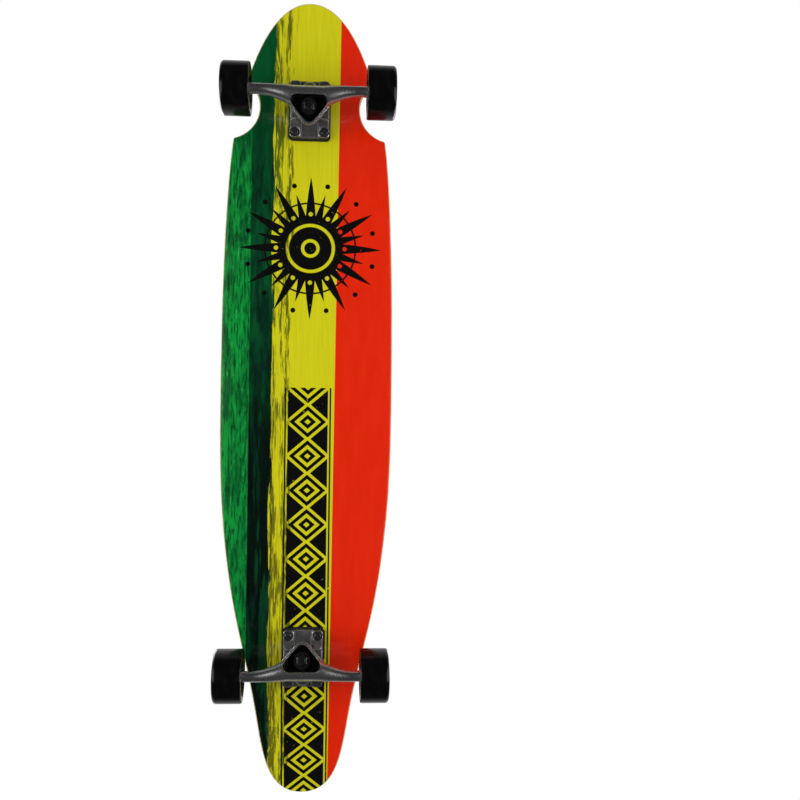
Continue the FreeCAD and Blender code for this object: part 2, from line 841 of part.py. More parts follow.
def hexagon_nut(body, base, x, y, corner_radius, height, bore):
    """Pad one hexagon nut upward from its base, with the corners of its lower end turned off."""
    outline = sketch_on(body, "XY_Plane", (ZERO, ZERO, base))
    draw_hexagon(outline, x, y, corner_radius)
    draw_circle(outline, x, y, bore)
    block = pad(body, outline, height)
    cone = sketch_on(body, "XZ_Plane", (x, ZERO, -y))
    flat_radius = corner_radius * flats_share
    proud = corner_radius + d.nut_corner_drop
    draw(
        cone,
        (flat_radius, base),
        (proud, base),
        (proud, base + (proud - flat_radius) / 2),
    )
    return block, revolve(body, cone, cut=True)


def bushing_stack():
    """Stations of the kingpin's stack, measured up from the seat: each pair is (top, bottom)."""
    washer = -d.washer_thickness
    boardside_end = washer - d.boardside_bushing_height
    ring_bottom = -(ring_drop + d.ring_thickness / 2)
    roadside_top = ring_bottom + d.roadside_seat_depth - d.bushing_seat_clearance
    roadside_end = roadside_top - d.roadside_bushing_height
    return SimpleNamespace(
        boardside=(washer, boardside_end),
        roadside=(roadside_top, roadside_end),
        washer=(roadside_end, roadside_end - d.washer_thickness),
    )


def make_kingpin_nut(end):
    body = new_body(end + "_kingpin_nut")
    base = bushing_stack().washer[1] - d.kingpin_nut_height
    bore = d.kingpin_radius + d.thread_clearance
    hexagon_nut(body, base, ZERO, ZERO, d.kingpin_nut_radius, d.kingpin_nut_height, bore)
    kingpin_place(body, end)


def make_cup_washer(node, end, radius, back, front):
    """Turn a cup washer: a disc between two stations with a lip from its front around the bushing."""
    body = new_body(node)
    lip = front + (d.washer_lip if front.number > back.number else -d.washer_lip)
    bore = d.kingpin_radius + d.kingpin_clearance
    section = sketch_on(body, "XZ_Plane")
    draw(
        section,
        (bore, back),
        (radius, back),
        (radius, lip),
        (radius - d.washer_rim, lip),
        (radius - d.washer_rim, front),
        (bore, front),
    )
    revolve(body, section)
    kingpin_place(body, end)


def make_bushing(node, end, span, end_radii, bulge):
    """Turn a bushing between two stations, with a wall that swells in the middle."""
    body = new_body(node)
    top, bottom = span
    top_radius, bottom_radius = end_radii
    bore = d.kingpin_radius + d.kingpin_clearance
    section = sketch_on(body, "XZ_Plane")
    belly = ((top_radius + bottom_radius) / 2 + bulge, (top + bottom) / 2)
    draw(section, (bore, top), (top_radius, top), Bend(belly, (bottom_radius, bottom)), (bore, bottom))
    revolve(body, section)
    kingpin_place(body, end)


def make_bushings(end):
    stack = bushing_stack()
    straight = (d.bushing_end_radius, d.bushing_end_radius)
    cone = (d.bushing_end_radius, d.bushing_cone_radius)
    make_bushing(end + "_boardside_bushing", end, stack.boardside, straight, d.bushing_bulge)
    make_bushing(end + "_roadside_bushing", end, stack.roadside, cone, d.bushing_bulge)
    make_cup_washer(end + "_boardside_washer", end, d.boardside_washer_radius, ZERO, stack.boardside[0])
    front, back = stack.washer
    make_cup_washer(end + "_roadside_washer", end, d.roadside_washer_radius, back, front)


def make_mounting_bolts(end):
    body = new_body(end + "_mounting_bolts")
    section = sketch_on(body, "XZ_Plane", (inner_bolt, ZERO, left_bolt))
    tip = deck_top - d.bolt_length
    draw(
        section,
        (ZERO, deck_top),
        (d.bolt_head_radius, deck_top),
        (d.bolt_radius, deck_top - (d.bolt_head_radius - d.bolt_radius)),
        (d.bolt_radius, tip),
        (ZERO, tip),
    )
    shank = revolve(body, section)
    socket = sketch_on(body, "XY_Plane", (ZERO, ZERO, deck_top))
    draw_hexagon(socket, inner_bolt, -left_bolt, d.bolt_socket_radius)
    drive = pocket(body, socket, d.bolt_socket_depth)
    four_bolts(body, shank, drive)
    truck_place(body, end)


def make_mounting_nuts(end):
    body = new_body(end + "_mounting_nuts")
    seat = plate_top - d.plate_thickness - d.lug_height + d.spot_face_depth
    height = d.mounting_nut_height
    bore = d.bolt_radius + d.thread_clearance
    nut = hexagon_nut(body, seat - height, inner_bolt, -left_bolt, d.mounting_nut_radius, height, bore)
    four_bolts(body, *nut)
    truck_place(body, end)


def arm_section(body, station, radius, rise):
    """A round section of the hanger's arm, keeping the arm's outer side in line."""
    sketch = sketch_on(body, "XZ_Plane", (ZERO, ZERO, -station))
    draw_circle(sketch, d.arm_end_radius - radius, rise, radius)
    return sketch


def draw_yoke(sketch, wall):
    """Draw the rounded triangle of the yoke, its tip toward the middle of the board."""
    reach, spread, base = d.cavity_base_reach, d.cavity_base_spread, d.cavity_base_radius + wall
    draw_hull(
        sketch,
        (-d.cavity_tip_reach, ZERO, d.cavity_tip_radius + wall),
        (reach, -spread, base),
        (reach, spread, base),
    )


def neck_section(body, height, inner, outer, half_width):
    """A rounded level section of the neck that carries the pivot nose."""
    sketch = sketch_on(body, "XY_Plane", (ZERO, ZERO, height))
    draw_round_box(sketch, inner, -half_width, outer, half_width, d.neck_corner_radius)
    return sketch


def loft(body, sections):
    feature = add_feature(body, "AdditiveLoft", sections[0])
    feature.Sections = sections[1:]
    doc.recompute()


def make_hanger(end):
    body = new_body(end + "_hanger")
    half_ring = d.ring_thickness / 2
    yoke = kingpin_sketch(body, -(ring_drop + d.yoke_depth))
    draw_yoke(yoke, d.yoke_wall)
    block = pad(body, yoke, d.yoke_depth + half_ring)
    middle = block.Shape.CenterOfMass
    along = Vector(sine(d.kingpin_tilt).number, 0, cosine(d.kingpin_tilt).number)

    def boardside(edge):
        return all((vertex.Point - middle).dot(along) > 0 for vertex in edge.Vertexes)

    round_edges(body, block, d.yoke_edge_round, boardside)
    stations = (
        (d.hanger_half_width, d.arm_end_radius, ZERO),
        (d.arm_mid_station, d.arm_mid_radius, d.arm_mid_rise),
        (d.arm_flare_station, d.arm_flare_radius, d.arm_flare_rise),
        (d.arm_root_station, d.arm_root_radius, d.arm_root_rise),
    )
    trunk = arm_section(body, ZERO, d.arm_root_radius, d.arm_root_rise)
    pad(body, trunk, d.arm_root_station * 2, symmetric=True)
    for side in (1, -1):
        loft(body, [arm_section(body, station * side, radius, rise) for station, radius, rise in stations])
    levels = (
        (d.neck_foot_height, d.neck_foot_inner, d.neck_foot_outer, d.neck_foot_half_width),
        (d.neck_waist_height, d.neck_waist_inner, d.neck_waist_outer, d.neck_waist_half_width),
        (d.neck_shoulder_height, d.neck_shoulder_inner, d.neck_shoulder_outer, d.neck_shoulder_half_width),
        (d.neck_crown_height, d.neck_crown_inner, d.neck_crown_outer, d.neck_crown_half_width),
    )
    loft(body, [neck_section(body, *level) for level in levels])
    cavity = kingpin_sketch(body, -(ring_drop + half_ring))
    draw_yoke(cavity, ZERO)
    pocket(body, cavity, d.yoke_depth - half_ring + d.cavity_run_out)
    bore = kingpin_sketch(body, half_ring - ring_drop)
    draw_circle(bore, ZERO, ZERO, d.ring_bore_radius)
    pocket(body, bore, d.ring_thickness)
    seat_radius = d.bushing_end_radius + d.bushing_seat_wall
    upper = kingpin_sketch(body, half_ring - ring_drop)
    draw_circle(upper, ZERO, ZERO, seat_radius)
    pocket(body, upper, d.boardside_seat_depth)
    lower = kingpin_sketch(body, -(ring_drop + half_ring))
    draw_circle(lower, ZERO, ZERO, seat_radius)
    pocket(body, lower, d.roadside_seat_depth, upward=True)
    nose = pivot_sketch(body)
    half_ball(nose, pivot_far - d.pivot_nose_length, pivot_far, d.pivot_nose_radius)
    revolve(body, nose, "H_Axis")
    axle = sketch_on(body, "XZ_Plane", (ZERO, ZERO, -d.axle_half_length))
    draw_circle(axle, ZERO, ZERO, d.axle_radius + d.cast_fit)
    pocket(body, axle, upward=True)
    truck_place(body, end)


# What sits on the axle, drawn as (radius, station along the axle)


def ring_outline(inner, outer, first, last):
    return (inner, first), (outer, first), (outer, last), (inner, last)


def on_side(outline, side):
    """Move an outline drawn for the left end of the axle to the given end."""
    moved = []
    for step in outline:
        if isinstance(step, Bend):
            middle = (step.middle[0], step.middle[1] * side)
            moved.append(Bend(middle, (step.end[0], step.end[1] * side)))
        else:
            moved.append((step[0], step[1] * side))
    return moved


def make_axle(end):
    half = d.axle_half_length
    slim = d.axle_radius - d.axle_tip_chamfer
    body = turned(
        end + "_axle",
        (
            (ZERO, -half),
            (slim, -half),
            (d.axle_radius, d.axle_tip_chamfer - half),
            (d.axle_radius, half - d.axle_tip_chamfer),
            (slim, half),
            (ZERO, half),
        ),
    )
    truck_place(body, end)


def race_outline(back, front, middle):
    """A bearing race between its smooth back and its grooved front, about the middle of the ball row."""
    half = d.bearing_width / 2
    drop = ball_pitch - front
    chord = root(groove_radius * groove_radius - drop * drop)
    deep = ball_pitch - groove_radius if drop.number > 0 else ball_pitch + groove_radius
    return (
        (back, middle - half),
        (front, middle - half),
        (front, middle - chord),
        Bend((deep, middle), (front, middle + chord)),
        (front, middle + half),
        (back, middle + half),
    )


def make_axle_fittings(end):
    """The pieces clamped on the axle: inner races, spacers, speed rings and nuts, on both sides."""
    bore = d.bearing_bore_radius
    races, spacers, rings = [], [], []
    for side in (1, -1):
        for along in (1, -1):
            middle = wheel_station + bearing_middle * along
            races.append(on_side(race_outline(bore, d.inner_race_radius, middle), side))
            face = wheel_station + bearing_far * along
            ring = ring_outline(bore, d.speed_ring_radius, face, face + d.speed_ring_thickness * along)
            rings.append(on_side(ring, side))
        near, far = wheel_station - bearing_near, wheel_station + bearing_near
        spacers.append(on_side(ring_outline(bore, d.spacer_radius, near, far), side))
    truck_place(turned(end + "_inner_races", *races), end)
    truck_place(turned(end + "_bearing_spacers", *spacers), end)
    truck_place(turned(end + "_speed_rings", *rings), end)


def make_axle_nuts(end):
    """Two hexagon nuts, drawn on the axle's cross plane, each against its outer speed ring."""
    body = new_body(end + "_axle_nuts")
    seat = wheel_station + bearing_far + d.speed_ring_thickness
    bore = d.axle_radius + d.thread_clearance
    flat_radius = d.axle_nut_radius * flats_share
    proud = d.axle_nut_radius + d.nut_corner_drop
    for side in (1, -1):
        outline = sketch_on(body, "XZ_Plane", (ZERO, ZERO, -(seat + d.axle_nut_height / 2) * side))
        draw_hexagon(outline, ZERO, ZERO, d.axle_nut_radius)
        draw_circle(outline, ZERO, ZERO, bore)
        pad(body, outline, d.axle_nut_height, symmetric=True)
        cone = sketch_on(body, "XY_Plane")
        far = seat + d.axle_nut_height
        drop = far - (proud - flat_radius) / 2
        draw(cone, (flat_radius, far * side), (proud, far * side), (proud, drop * side))
        revolve(body, cone, cut=True)
    truck_place(body, end)


# The wheels, each modelled about its own middle with +Y to its outer face


def wheel_place(body, end, side):
    turn = ZERO if side == 1 else size_of(HALF_TURN)
    place(body, axle_x[end], wheel_station * side, d.wheel_radius, turn)


def make_tyre(name, end, side):
    radius = d.wheel_radius
    face = d.wheel_half_width
    inner, outer = d.wheel_inner_lip, d.wheel_outer_lip
    bond = d.core_radius + d.cast_fit

    def lip_middle(size, side):
        """The middle of the quarter round between the tread and one face."""
        reach = size * diagonal_share
        return radius - size + reach, (face - size + reach) * side

    body = turned(
        name + "_tyre",
        (
            (bond, -d.core_half_width),
            (d.wheel_face_radius, -face),
            (radius - inner, -face),
            Bend(lip_middle(inner, -1), (radius, inner - face)),
            (radius, face - outer),
            Bend(lip_middle(outer, 1), (radius - outer, face)),
            (d.wheel_face_radius, face),
            (bond, d.core_half_width),
        ),
    )
    wheel_place(body, end, side)


def make_wheel_core(name, end, side):
    seat = d.bearing_radius + d.bearing_fit
    half = d.core_half_width
    deep = half - d.core_web_depth
    rim = (d.core_web_radius + d.core_radius) / 2
    body = turned(
        name + "_wheel_core",
        (
            (d.core_shoulder_radius, -bearing_near),
            (seat, -bearing_near),
            (seat, -half),
            ((seat + d.core_web_radius) / 2, -half),
            (d.core_web_radius, -deep),
            (rim, -half),
            (d.core_radius, -half),
            (d.core_radius, half),
            (rim, half),
            (d.core_web_radius, deep),
            ((seat + d.core_web_radius) / 2, half),
            (seat, half),
            (seat, bearing_near),
            (d.core_shoulder_radius, bearing_near),
        ),
    )
    wheel_place(body, end, side)


def make_bearing_shells(name, end, side):
    """Outer races and shields, which turn with the wheel."""
    races, shields = [], []
    for along in (1, -1):
        races.append(race_outline(d.bearing_radius, d.outer_race_radius, bearing_middle * along))
        for face in (1, -1):
            outside = bearing_middle * along + (d.bearing_width / 2 - d.shield_recess) * face
            inside = outside - d.shield_thickness * face
            bore = d.inner_race_radius + d.shield_lip_gap
            shields.append(ring_outline(bore, d.outer_race_radius - d.bearing_fit, inside, outside))
    wheel_place(turned(name + "_outer_races", *races), end, side)
    wheel_place(turned(name + "_bearing_shields", *shields), end, side)


def ball_row(body, kind, radius):
    """Seven balls, or the pockets for them, in each of the wheel's two bearings."""
    seeds = []
    for along in (1, -1):
        ball = body.newObject("PartDesign::" + kind, f"{body.Name}_{kind}")
        ball.AttachmentSupport = [(datum(body, "XY_Plane"), "")]
        ball.MapMode = "FlatFace"
        station = bearing_middle * along
        ball.AttachmentOffset = Placement(Vector(ball_pitch.number, station.number, 0), Rotation())
        ball.setExpression("AttachmentOffset.Base.x", ball_pitch.formula)
        ball.setExpression("AttachmentOffset.Base.y", station.formula)
        bind(ball, Radius=radius)
        seeds.append(ball)
        doc.recompute()
    pattern = body.newObject("PartDesign::PolarPattern", body.Name + "_pattern")
    pattern.Originals = seeds
    pattern.Axis = (datum(body, "Y_Axis"), [""])
    pattern.Angle = FULL_TURN
    pattern.Occurrences = BALLS_IN_A_BEARING
    body.Tip = pattern
    doc.recompute()


def make_bearing_balls(name, end, side):
    body = new_body(name + "_bearing_balls")
    ball_row(body, "AdditiveSphere", d.ball_radius)
    wheel_place(body, end, side)


def make_bearing_cages(name, end, side):
    wall = d.cage_wall / 2
    crowns = []
    for along in (1, -1):
        first = (bearing_middle - d.cage_near) * along
        last = (bearing_middle - d.cage_far) * along
        crowns.append(ring_outline(ball_pitch - wall, ball_pitch + wall, first, last))
    body = turned(name + "_bearing_cages", *crowns)
    ball_row(body, "SubtractiveSphere", groove_radius)
    wheel_place(body, end, side)


def build():
    make_deck()
    make_grip_tape()
    for end in ("front", "rear"):
        for make in (
            make_riser_pad,
            make_baseplate,
            make_pivot_cup,
            make_kingpin,
            make_kingpin_nut,
            make_bushings,
            make_mounting_bolts,
            make_mounting_nuts,
            make_hanger,
            make_axle,
            make_axle_fittings,
            make_axle_nuts,
        ):
            make(end)
        for side, hand in ((1, "left"), (-1, "right")):
            for make in (
                make_tyre,
                make_wheel_core,
                make_bearing_shells,
                make_bearing_balls,
                make_bearing_cages,
            ):
                make(f"{end}_{hand}", end, side)


def check_and_write():
    doc.recompute()
    faults = [item.Label for item in doc.Objects if {"Invalid", "Error"} & set(item.State)]
    faults += [body.Label for body in nodes if body.Shape.isNull() or not body.Shape.isValid()]
    if faults:
        raise RuntimeError("not sound: " + ", ".join(faults))
    os.makedirs("parts", exist_ok=True)
    for body in nodes:
        body.Shape.exportStep(f"parts/{body.Label}.step")
        print(body.Label, len(body.Shape.Solids), round(body.Shape.Volume, 1))


build()
check_and_write()
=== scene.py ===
# %% [markdown]
# # Dressing a longboard skateboard
# The packed model is a longboard: a pressed maple deck with a kicktail and two wheel cut-outs, grip tape on
# top, and two cast trucks below with four urethane wheels. Its nodes are exact in size but plain to look
# at. Here each one gets a finish, and the cast, turned and threaded pieces get a mesh with more life in it.
# Loading comes first, because later steps take their places and many of their sizes from the frame.

# %% Load the frame
import math

import bmesh
import bpy
import numpy
from mathutils import Matrix, Vector


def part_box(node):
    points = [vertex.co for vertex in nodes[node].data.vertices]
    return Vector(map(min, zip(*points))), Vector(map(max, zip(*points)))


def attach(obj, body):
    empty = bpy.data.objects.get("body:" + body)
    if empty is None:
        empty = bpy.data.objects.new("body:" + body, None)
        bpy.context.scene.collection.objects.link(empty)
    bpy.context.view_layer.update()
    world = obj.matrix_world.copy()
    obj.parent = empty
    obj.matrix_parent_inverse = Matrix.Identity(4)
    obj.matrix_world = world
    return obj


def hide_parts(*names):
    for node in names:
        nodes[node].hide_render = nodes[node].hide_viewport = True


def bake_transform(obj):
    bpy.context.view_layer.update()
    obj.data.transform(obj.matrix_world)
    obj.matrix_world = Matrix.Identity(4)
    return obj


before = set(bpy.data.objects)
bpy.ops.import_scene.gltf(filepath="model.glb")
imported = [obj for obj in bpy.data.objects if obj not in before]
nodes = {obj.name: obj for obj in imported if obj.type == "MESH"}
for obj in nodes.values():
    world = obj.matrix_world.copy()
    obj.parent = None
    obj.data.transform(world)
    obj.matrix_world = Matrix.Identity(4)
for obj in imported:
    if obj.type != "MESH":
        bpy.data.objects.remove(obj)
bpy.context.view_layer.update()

MM = 0.001
ENDS = ("front", "rear")
WHEELS = [f"{end}_{hand}" for end in ENDS for hand in ("left", "right")]

# %% [markdown]
# A truck is easiest to think of from its own axle and kingpin. The middle of the axle is the middle of its
# box. The kingpin leans, so its direction is taken between the two washers that sit on it, and a small
# matrix turns local drawings, with +Z up the kingpin, into place. The same matrix serves the hanger's
# pocket, the nut and the pin.

# %% Measure the axles and kingpins


def middle(node):
    """The middle of a node's box."""
    low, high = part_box(node)
    return (low + high) / 2


def span(node):
    """The length of a node's box along each axis."""
    low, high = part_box(node)
    return high - low


def kingpin_frame(end):
    """A matrix with its origin at the lower washer and +Z up along the kingpin."""
    foot = middle(end + "_roadside_washer")
    up = (middle(end + "_boardside_washer") - foot).normalized()
    across = Vector((0, 1, 0))
    matrix = Matrix((across.cross(up), across, up)).transposed().to_4x4()
    matrix.translation = foot
    return matrix


axle_middle = {end: middle(end + "_axle") for end in ENDS}
kingpin = {end: kingpin_frame(end) for end in ENDS}
for end in ENDS:
    print(end, "axle at", [round(c, 4) for c in axle_middle[end]])
    print(end, "kingpin leans", [round(c, 3) for c in kingpin[end].col[2]])

# %% [markdown]
# ## Finishes
# A finish is a tree of nodes, and most trees repeat the same few moves: read a position, stir in noise,
# compare, mix. Written out node by node, the idea of a finish would drown in bookkeeping, so a class gives
# each move a short name. Positions are Object coordinates turned into millimetres, so that lengths in a
# finish are real sizes, and the pattern stays on its piece when the piece moves.

# %% A class for nodes and sums


class Sums:
    """Adds nodes to one tree. Inputs are plain values or outputs of other nodes, by name or number."""

    def __init__(self, tree):
        self.tree = tree

    def add(self, kind, inputs=None, **settings):
        node = self.tree.nodes.new(kind)
        for name, setting in settings.items():
            setattr(node, name, setting)
        for name, value in (inputs or {}).items():
            self.plug(value, node.inputs[name])
        return node

    def plug(self, value, socket):
        if isinstance(value, bpy.types.NodeSocket):
            self.tree.links.new(value, socket)
        else:
            socket.default_value = value

    def math(self, operation, *values):
        return self.add("ShaderNodeMath", dict(enumerate(values)), operation=operation).outputs[0]

    def plus(self, first, second):
        return self.math("ADD", first, second)

    def minus(self, first, second):
        return self.math("SUBTRACT", first, second)

    def times(self, first, second):
        return self.math("MULTIPLY", first, second)

    def over(self, first, second):
        return self.math("DIVIDE", first, second)

    def length(self, first, second):
        """The long side of a right angle with these two short sides."""
        return self.math("SQRT", self.plus(self.times(first, first), self.times(second, second)))

    def vector(self, operation, *values):
        return self.add("ShaderNodeVectorMath", dict(enumerate(values)), operation=operation).outputs[0]

    def split(self, vector):
        return self.add("ShaderNodeSeparateXYZ", {0: vector}).outputs

    def position(self):
        """Object coordinates in millimetres."""
        coordinates = self.add("ShaderNodeTexCoord")
        return self.vector("DIVIDE", coordinates.outputs["Object"], (MM, MM, MM))


print("sums:", ", ".join(name for name in vars(Sums) if not name.startswith("_")))

# %% [markdown]
# The class grows by what finishes are made of: soft steps, noise in real sizes, mixed colours and relief.
# Blender has a node for each, but with many sockets, of which a finish sets two or three. The last move is
# for Geometry Nodes, where a shape goes in at one end of a node and comes out at the other.

# %% A class for noise, colour and relief


class Wiring(Sums):
    """The moves that finishes and node trees are made of."""

    def ramp(self, value, low, high):
        """Rises smoothly from 0 at low to 1 at high."""
        inputs = {"Value": value, "From Min": low, "From Max": high}
        return self.add("ShaderNodeMapRange", inputs, interpolation_type="SMOOTHSTEP").outputs[0]

    def step(self, value, place, soft):
        """Rises from 0 to 1 about a place. A negative softness makes it fall instead."""
        return self.ramp(value, place - soft, place + soft)

    def noise(self, position, stretch, detail=3.0, roughness=0.55):
        """Noise whose lumps measure about the three stretch lengths."""
        shrunk = self.vector("DIVIDE", position, stretch)
        inputs = {"Vector": shrunk, "Scale": 1.0, "Detail": detail, "Roughness": roughness}
        return self.add("ShaderNodeTexNoise", inputs).outputs[0]

    def rings(self, lane, size, detail):
        """Noise along one length only, as a turning tool leaves it."""
        along = self.add("ShaderNodeCombineXYZ", {0: self.over(lane, size)}).outputs[0]
        inputs = {"Vector": along, "Scale": 1.0, "Detail": detail}
        return self.add("ShaderNodeTexNoise", inputs).outputs[0]

    def sway(self, noise, width):
        """Noise turned into a sway to and fro about zero."""
        return self.times(self.minus(noise, 0.5), width)

    def mix(self, share, first, second):
        return self.add("ShaderNodeMix", {0: share, 6: first, 7: second}, data_type="RGBA").outputs[2]

    def tint(self, colour, mask, strength, second):
        """Lays a second colour over the first, where the mask says and at most by the strength."""
        return self.mix(self.times(mask, strength), colour, second)

    def between(self, share, first, second):
        return self.add("ShaderNodeMix", {0: share, 2: first, 3: second}).outputs[0]

    def bump(self, height, depth, strength=1.0):
        """A normal for a relief of the given depth in millimetres."""
        inputs = {"Height": height, "Distance": depth * MM, "Strength": strength}
        return self.add("ShaderNodeBump", inputs).outputs[0]

    def shape(self, kind, geometry, **inputs):
        """Passes geometry through one more node."""
        return self.add("GeometryNode" + kind, {"Geometry": geometry, **inputs}).outputs[0]


print("moves:", ", ".join(name for name in vars(Wiring) if not name.startswith("_")))

# %% [markdown]
# Four more helpers make what the nodes live in. A colour is easiest to write as it looks on screen. A
# larger effect is a node group, which needs named sockets before it can be wired and used in a finish. A
# finish starts as a material whose shader already holds the values that stay constant. From here on, `w`
# is the wiring of the tree at hand, `into` and `out` are a group's sockets, and `shader` is the inputs of
# a finish's shader.

# %% Colours, groups and finishes


def paint(red, green, blue):
    """A colour as it looks on screen, 0 to 255, turned into the linear values that shaders use."""
    channels = [channel / 255 for channel in (red, green, blue)]
    linear = [c / 12.92 if c <= 0.04045 else ((c + 0.055) / 1.055) ** 2.4 for c in channels]
    return (*linear, 1.0)


def new_group(name, inputs, outputs, kind="ShaderNodeTree"):
    """A node group with named sockets: its wiring, its input sockets and its output sockets."""
    tree = bpy.data.node_groups.new(name, kind)
    for direction, sockets in (("INPUT", inputs), ("OUTPUT", outputs)):
        for label, value_kind in sockets.items():
            tree.interface.new_socket(label, in_out=direction, socket_type="NodeSocket" + value_kind)
    wiring = Wiring(tree)
    return wiring, wiring.add("NodeGroupInput").outputs, wiring.add("NodeGroupOutput").inputs


def use_group(wiring, name, **inputs):
    """Puts a node group into a tree and gives back its outputs."""
    node = wiring.add("ShaderNodeGroup", node_tree=bpy.data.node_groups[name])
    for label, value in inputs.items():
        wiring.plug(value, node.inputs[label])
    return node.outputs


def new_finish(name, **constants):
    """A material with constant values in its shader: itself, its wiring and the shader's inputs."""
    material = bpy.data.materials.new(name)
    material.use_nodes = True
    shader = material.node_tree.nodes["Principled BSDF"].inputs
    for label, value in constants.items():
        shader[label.replace("_", " ")].default_value = value
    return material, Wiring(material.node_tree), shader


print("mid grey is", round(paint(128, 128, 128)[0], 3), "in linear light")

# %% [markdown]
# ### How deep in the deck a point lies
# A pressed deck is a stack of veneers that all follow the press. To show the veneers on the edge, and the
# print only on the underside, a finish must know how deep in the stack a point lies. A painted mask would
# do, but a short formula is exact: the press is flat in the middle, round towards both sides, and bends up
# at the kick.

# %% Group: depth in the pressed sheet
deck_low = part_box("deck")[0]
UNDERSIDE = deck_low.z / MM
DECK_THICKNESS = (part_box("front_mounting_bolts")[1].z - deck_low.z) / MM
FLAT_HALF_WIDTH = 45.0
CONCAVE_RADIUS = 520.0
KICK_RUN = 158.0
KICK_START = deck_low.x / MM + KICK_RUN
KICK_RADIUS = 300.0
KICK_ANGLE = math.radians(13.0)

w, into, out = new_group("Depth in the sheet", {"Position": "Vector"}, {"Depth": "Float"})
x, y, z = w.split(into["Position"])
side = w.math("MAXIMUM", w.minus(w.math("ABSOLUTE", y), FLAT_HALF_WIDTH), 0.0)
side_fall = w.math("SQRT", w.minus(CONCAVE_RADIUS**2, w.times(side, side)))
side_lift = w.minus(CONCAVE_RADIUS, side_fall)
run = w.math("MAXIMUM", w.minus(KICK_START, x), 0.0)
bend_run = KICK_RADIUS * math.sin(KICK_ANGLE)
bent = w.math("MINIMUM", run, bend_run)
bend_fall = w.math("SQRT", w.minus(KICK_RADIUS**2, w.times(bent, bent)))
straight = w.times(w.minus(run, bent), math.tan(KICK_ANGLE))
kick_lift = w.plus(w.minus(KICK_RADIUS, bend_fall), straight)
w.plug(w.minus(w.minus(z, UNDERSIDE), w.plus(side_lift, kick_lift)), out["Depth"])
print("deck", round(DECK_THICKNESS, 2), "mm thick, kick starts at", round(KICK_START, 1), "mm")

# %% [markdown]
# ### The painted stripes
# The underside is printed in lengthwise stripes: a bright and a dark green, yellow and red. Red meets
# yellow in a clean line, but the greens run out in ragged, brushed streaks. Noise that is stretched along
# the board moves the boundary to and fro, which looks like paint dragged by a dry brush, and more noise
# mottles each colour. The greens come first. The dark one gets darker and patched with black toward the
# tail, and at the nose the bright one turns into it.

# %% Group: painted stripes, the greens
BRIGHT_GREEN_END = -80.0
GREEN_END = -48.5
RED_START = 39.4

w, into, out = new_group("Painted stripes", {"Position": "Vector"}, {"Colour": "Color"})
spot = into["Position"]
x, y, _ = w.split(spot)
mottle = w.noise(spot, (60.0, 13.0, 40.0), detail=8.0, roughness=0.66)
dashes = w.noise(spot, (22.0, 3.2, 20.0), detail=5.0, roughness=0.62)
brush = w.noise(spot, (75.0, 5.0, 40.0), detail=7.0, roughness=0.64)
grain = w.noise(spot, (60.0, 1.6, 40.0), detail=3.0)
blotch = w.noise(spot, (110.0, 10.0, 40.0), detail=8.0, roughness=0.62)
toward_nose = w.ramp(x, 300.0, 430.0)
toward_tail = w.ramp(x, 130.0, -110.0)

bright = w.mix(w.ramp(mottle, 0.36, 0.60), paint(4, 88, 38), paint(12, 146, 54))
bright = w.tint(bright, w.ramp(dashes, 0.50, 0.40), 0.75, paint(2, 52, 26))
bright = w.mix(w.ramp(dashes, 0.60, 0.70), bright, paint(40, 166, 78))
dark = w.mix(w.ramp(mottle, 0.36, 0.64), paint(4, 34, 24), paint(4, 76, 38))
dark = w.tint(dark, toward_nose, 0.6, paint(2, 88, 40))
dark = w.tint(dark, toward_tail, 0.45, paint(6, 38, 26))
black_patch = w.times(toward_tail, w.ramp(blotch, 0.56, 0.48))
dark = w.tint(dark, black_patch, 0.9, paint(5, 9, 8))
bright = w.mix(toward_nose, bright, dark)
split_line = w.plus(y, w.sway(dashes, 2.0))
green = w.mix(w.step(split_line, BRIGHT_GREEN_END, 0.8), bright, dark)
print("greens meet at", BRIGHT_GREEN_END, "mm")

# %% [markdown]
# The same group goes on with the yellow, which is not clean either. Close to the green it carries patches
# of olive, thickest at the boundary and thinner further in, then a smeared lane, and toward the tail thin
# brown streaks. How far a point lies from the green sets how easily the noise there turns into a patch. The
# red starts at a line that runs a little askew to the board.

# %% Lay yellow and red beside the greens
SMEAR_LANE = -29.0
SMEAR_HALF_WIDTH = 11.0
PRINT_SKEW = 0.006

yellow = w.mix(w.ramp(grain, 0.35, 0.65), paint(205, 200, 18), paint(213, 209, 26))
yellow = w.tint(yellow, w.ramp(brush, 0.52, 0.70), 0.35, paint(190, 180, 10))
from_green = w.minus(y, GREEN_END)
streaks = w.times(w.ramp(from_green, 36.0, 8.0), w.ramp(grain, 0.54, 0.66))
streaks = w.times(streaks, w.times(toward_tail, 0.6))
yellow = w.mix(streaks, yellow, paint(132, 122, 8))

torn_line = w.plus(y, w.sway(brush, 24.0))
colour = w.mix(w.step(torn_line, GREEN_END, 0.7), green, yellow)
ease = w.times(w.ramp(from_green, 28.0, 2.0), 0.24)
patch = w.ramp(w.plus(blotch, ease), 0.67, 0.76)
patch = w.times(patch, w.ramp(dashes, 0.36, 0.50))
patch = w.times(patch, w.step(from_green, 0.0, 1.0))
olive = w.mix(toward_tail, paint(26, 66, 22), paint(74, 70, 20))
colour = w.tint(colour, patch, 0.85, olive)

from_lane = w.plus(w.plus(y, w.sway(mottle, 14.0)), -SMEAR_LANE)
spread_out = w.plus(1.1, w.sway(brush, 5.0))
smear = w.minus(spread_out, w.over(w.math("ABSOLUTE", from_lane), SMEAR_HALF_WIDTH))
smear = w.times(w.ramp(smear, 0.45, 0.95), w.ramp(dashes, 0.38, 0.54))
colour = w.tint(colour, smear, 0.85, paint(50, 64, 14))

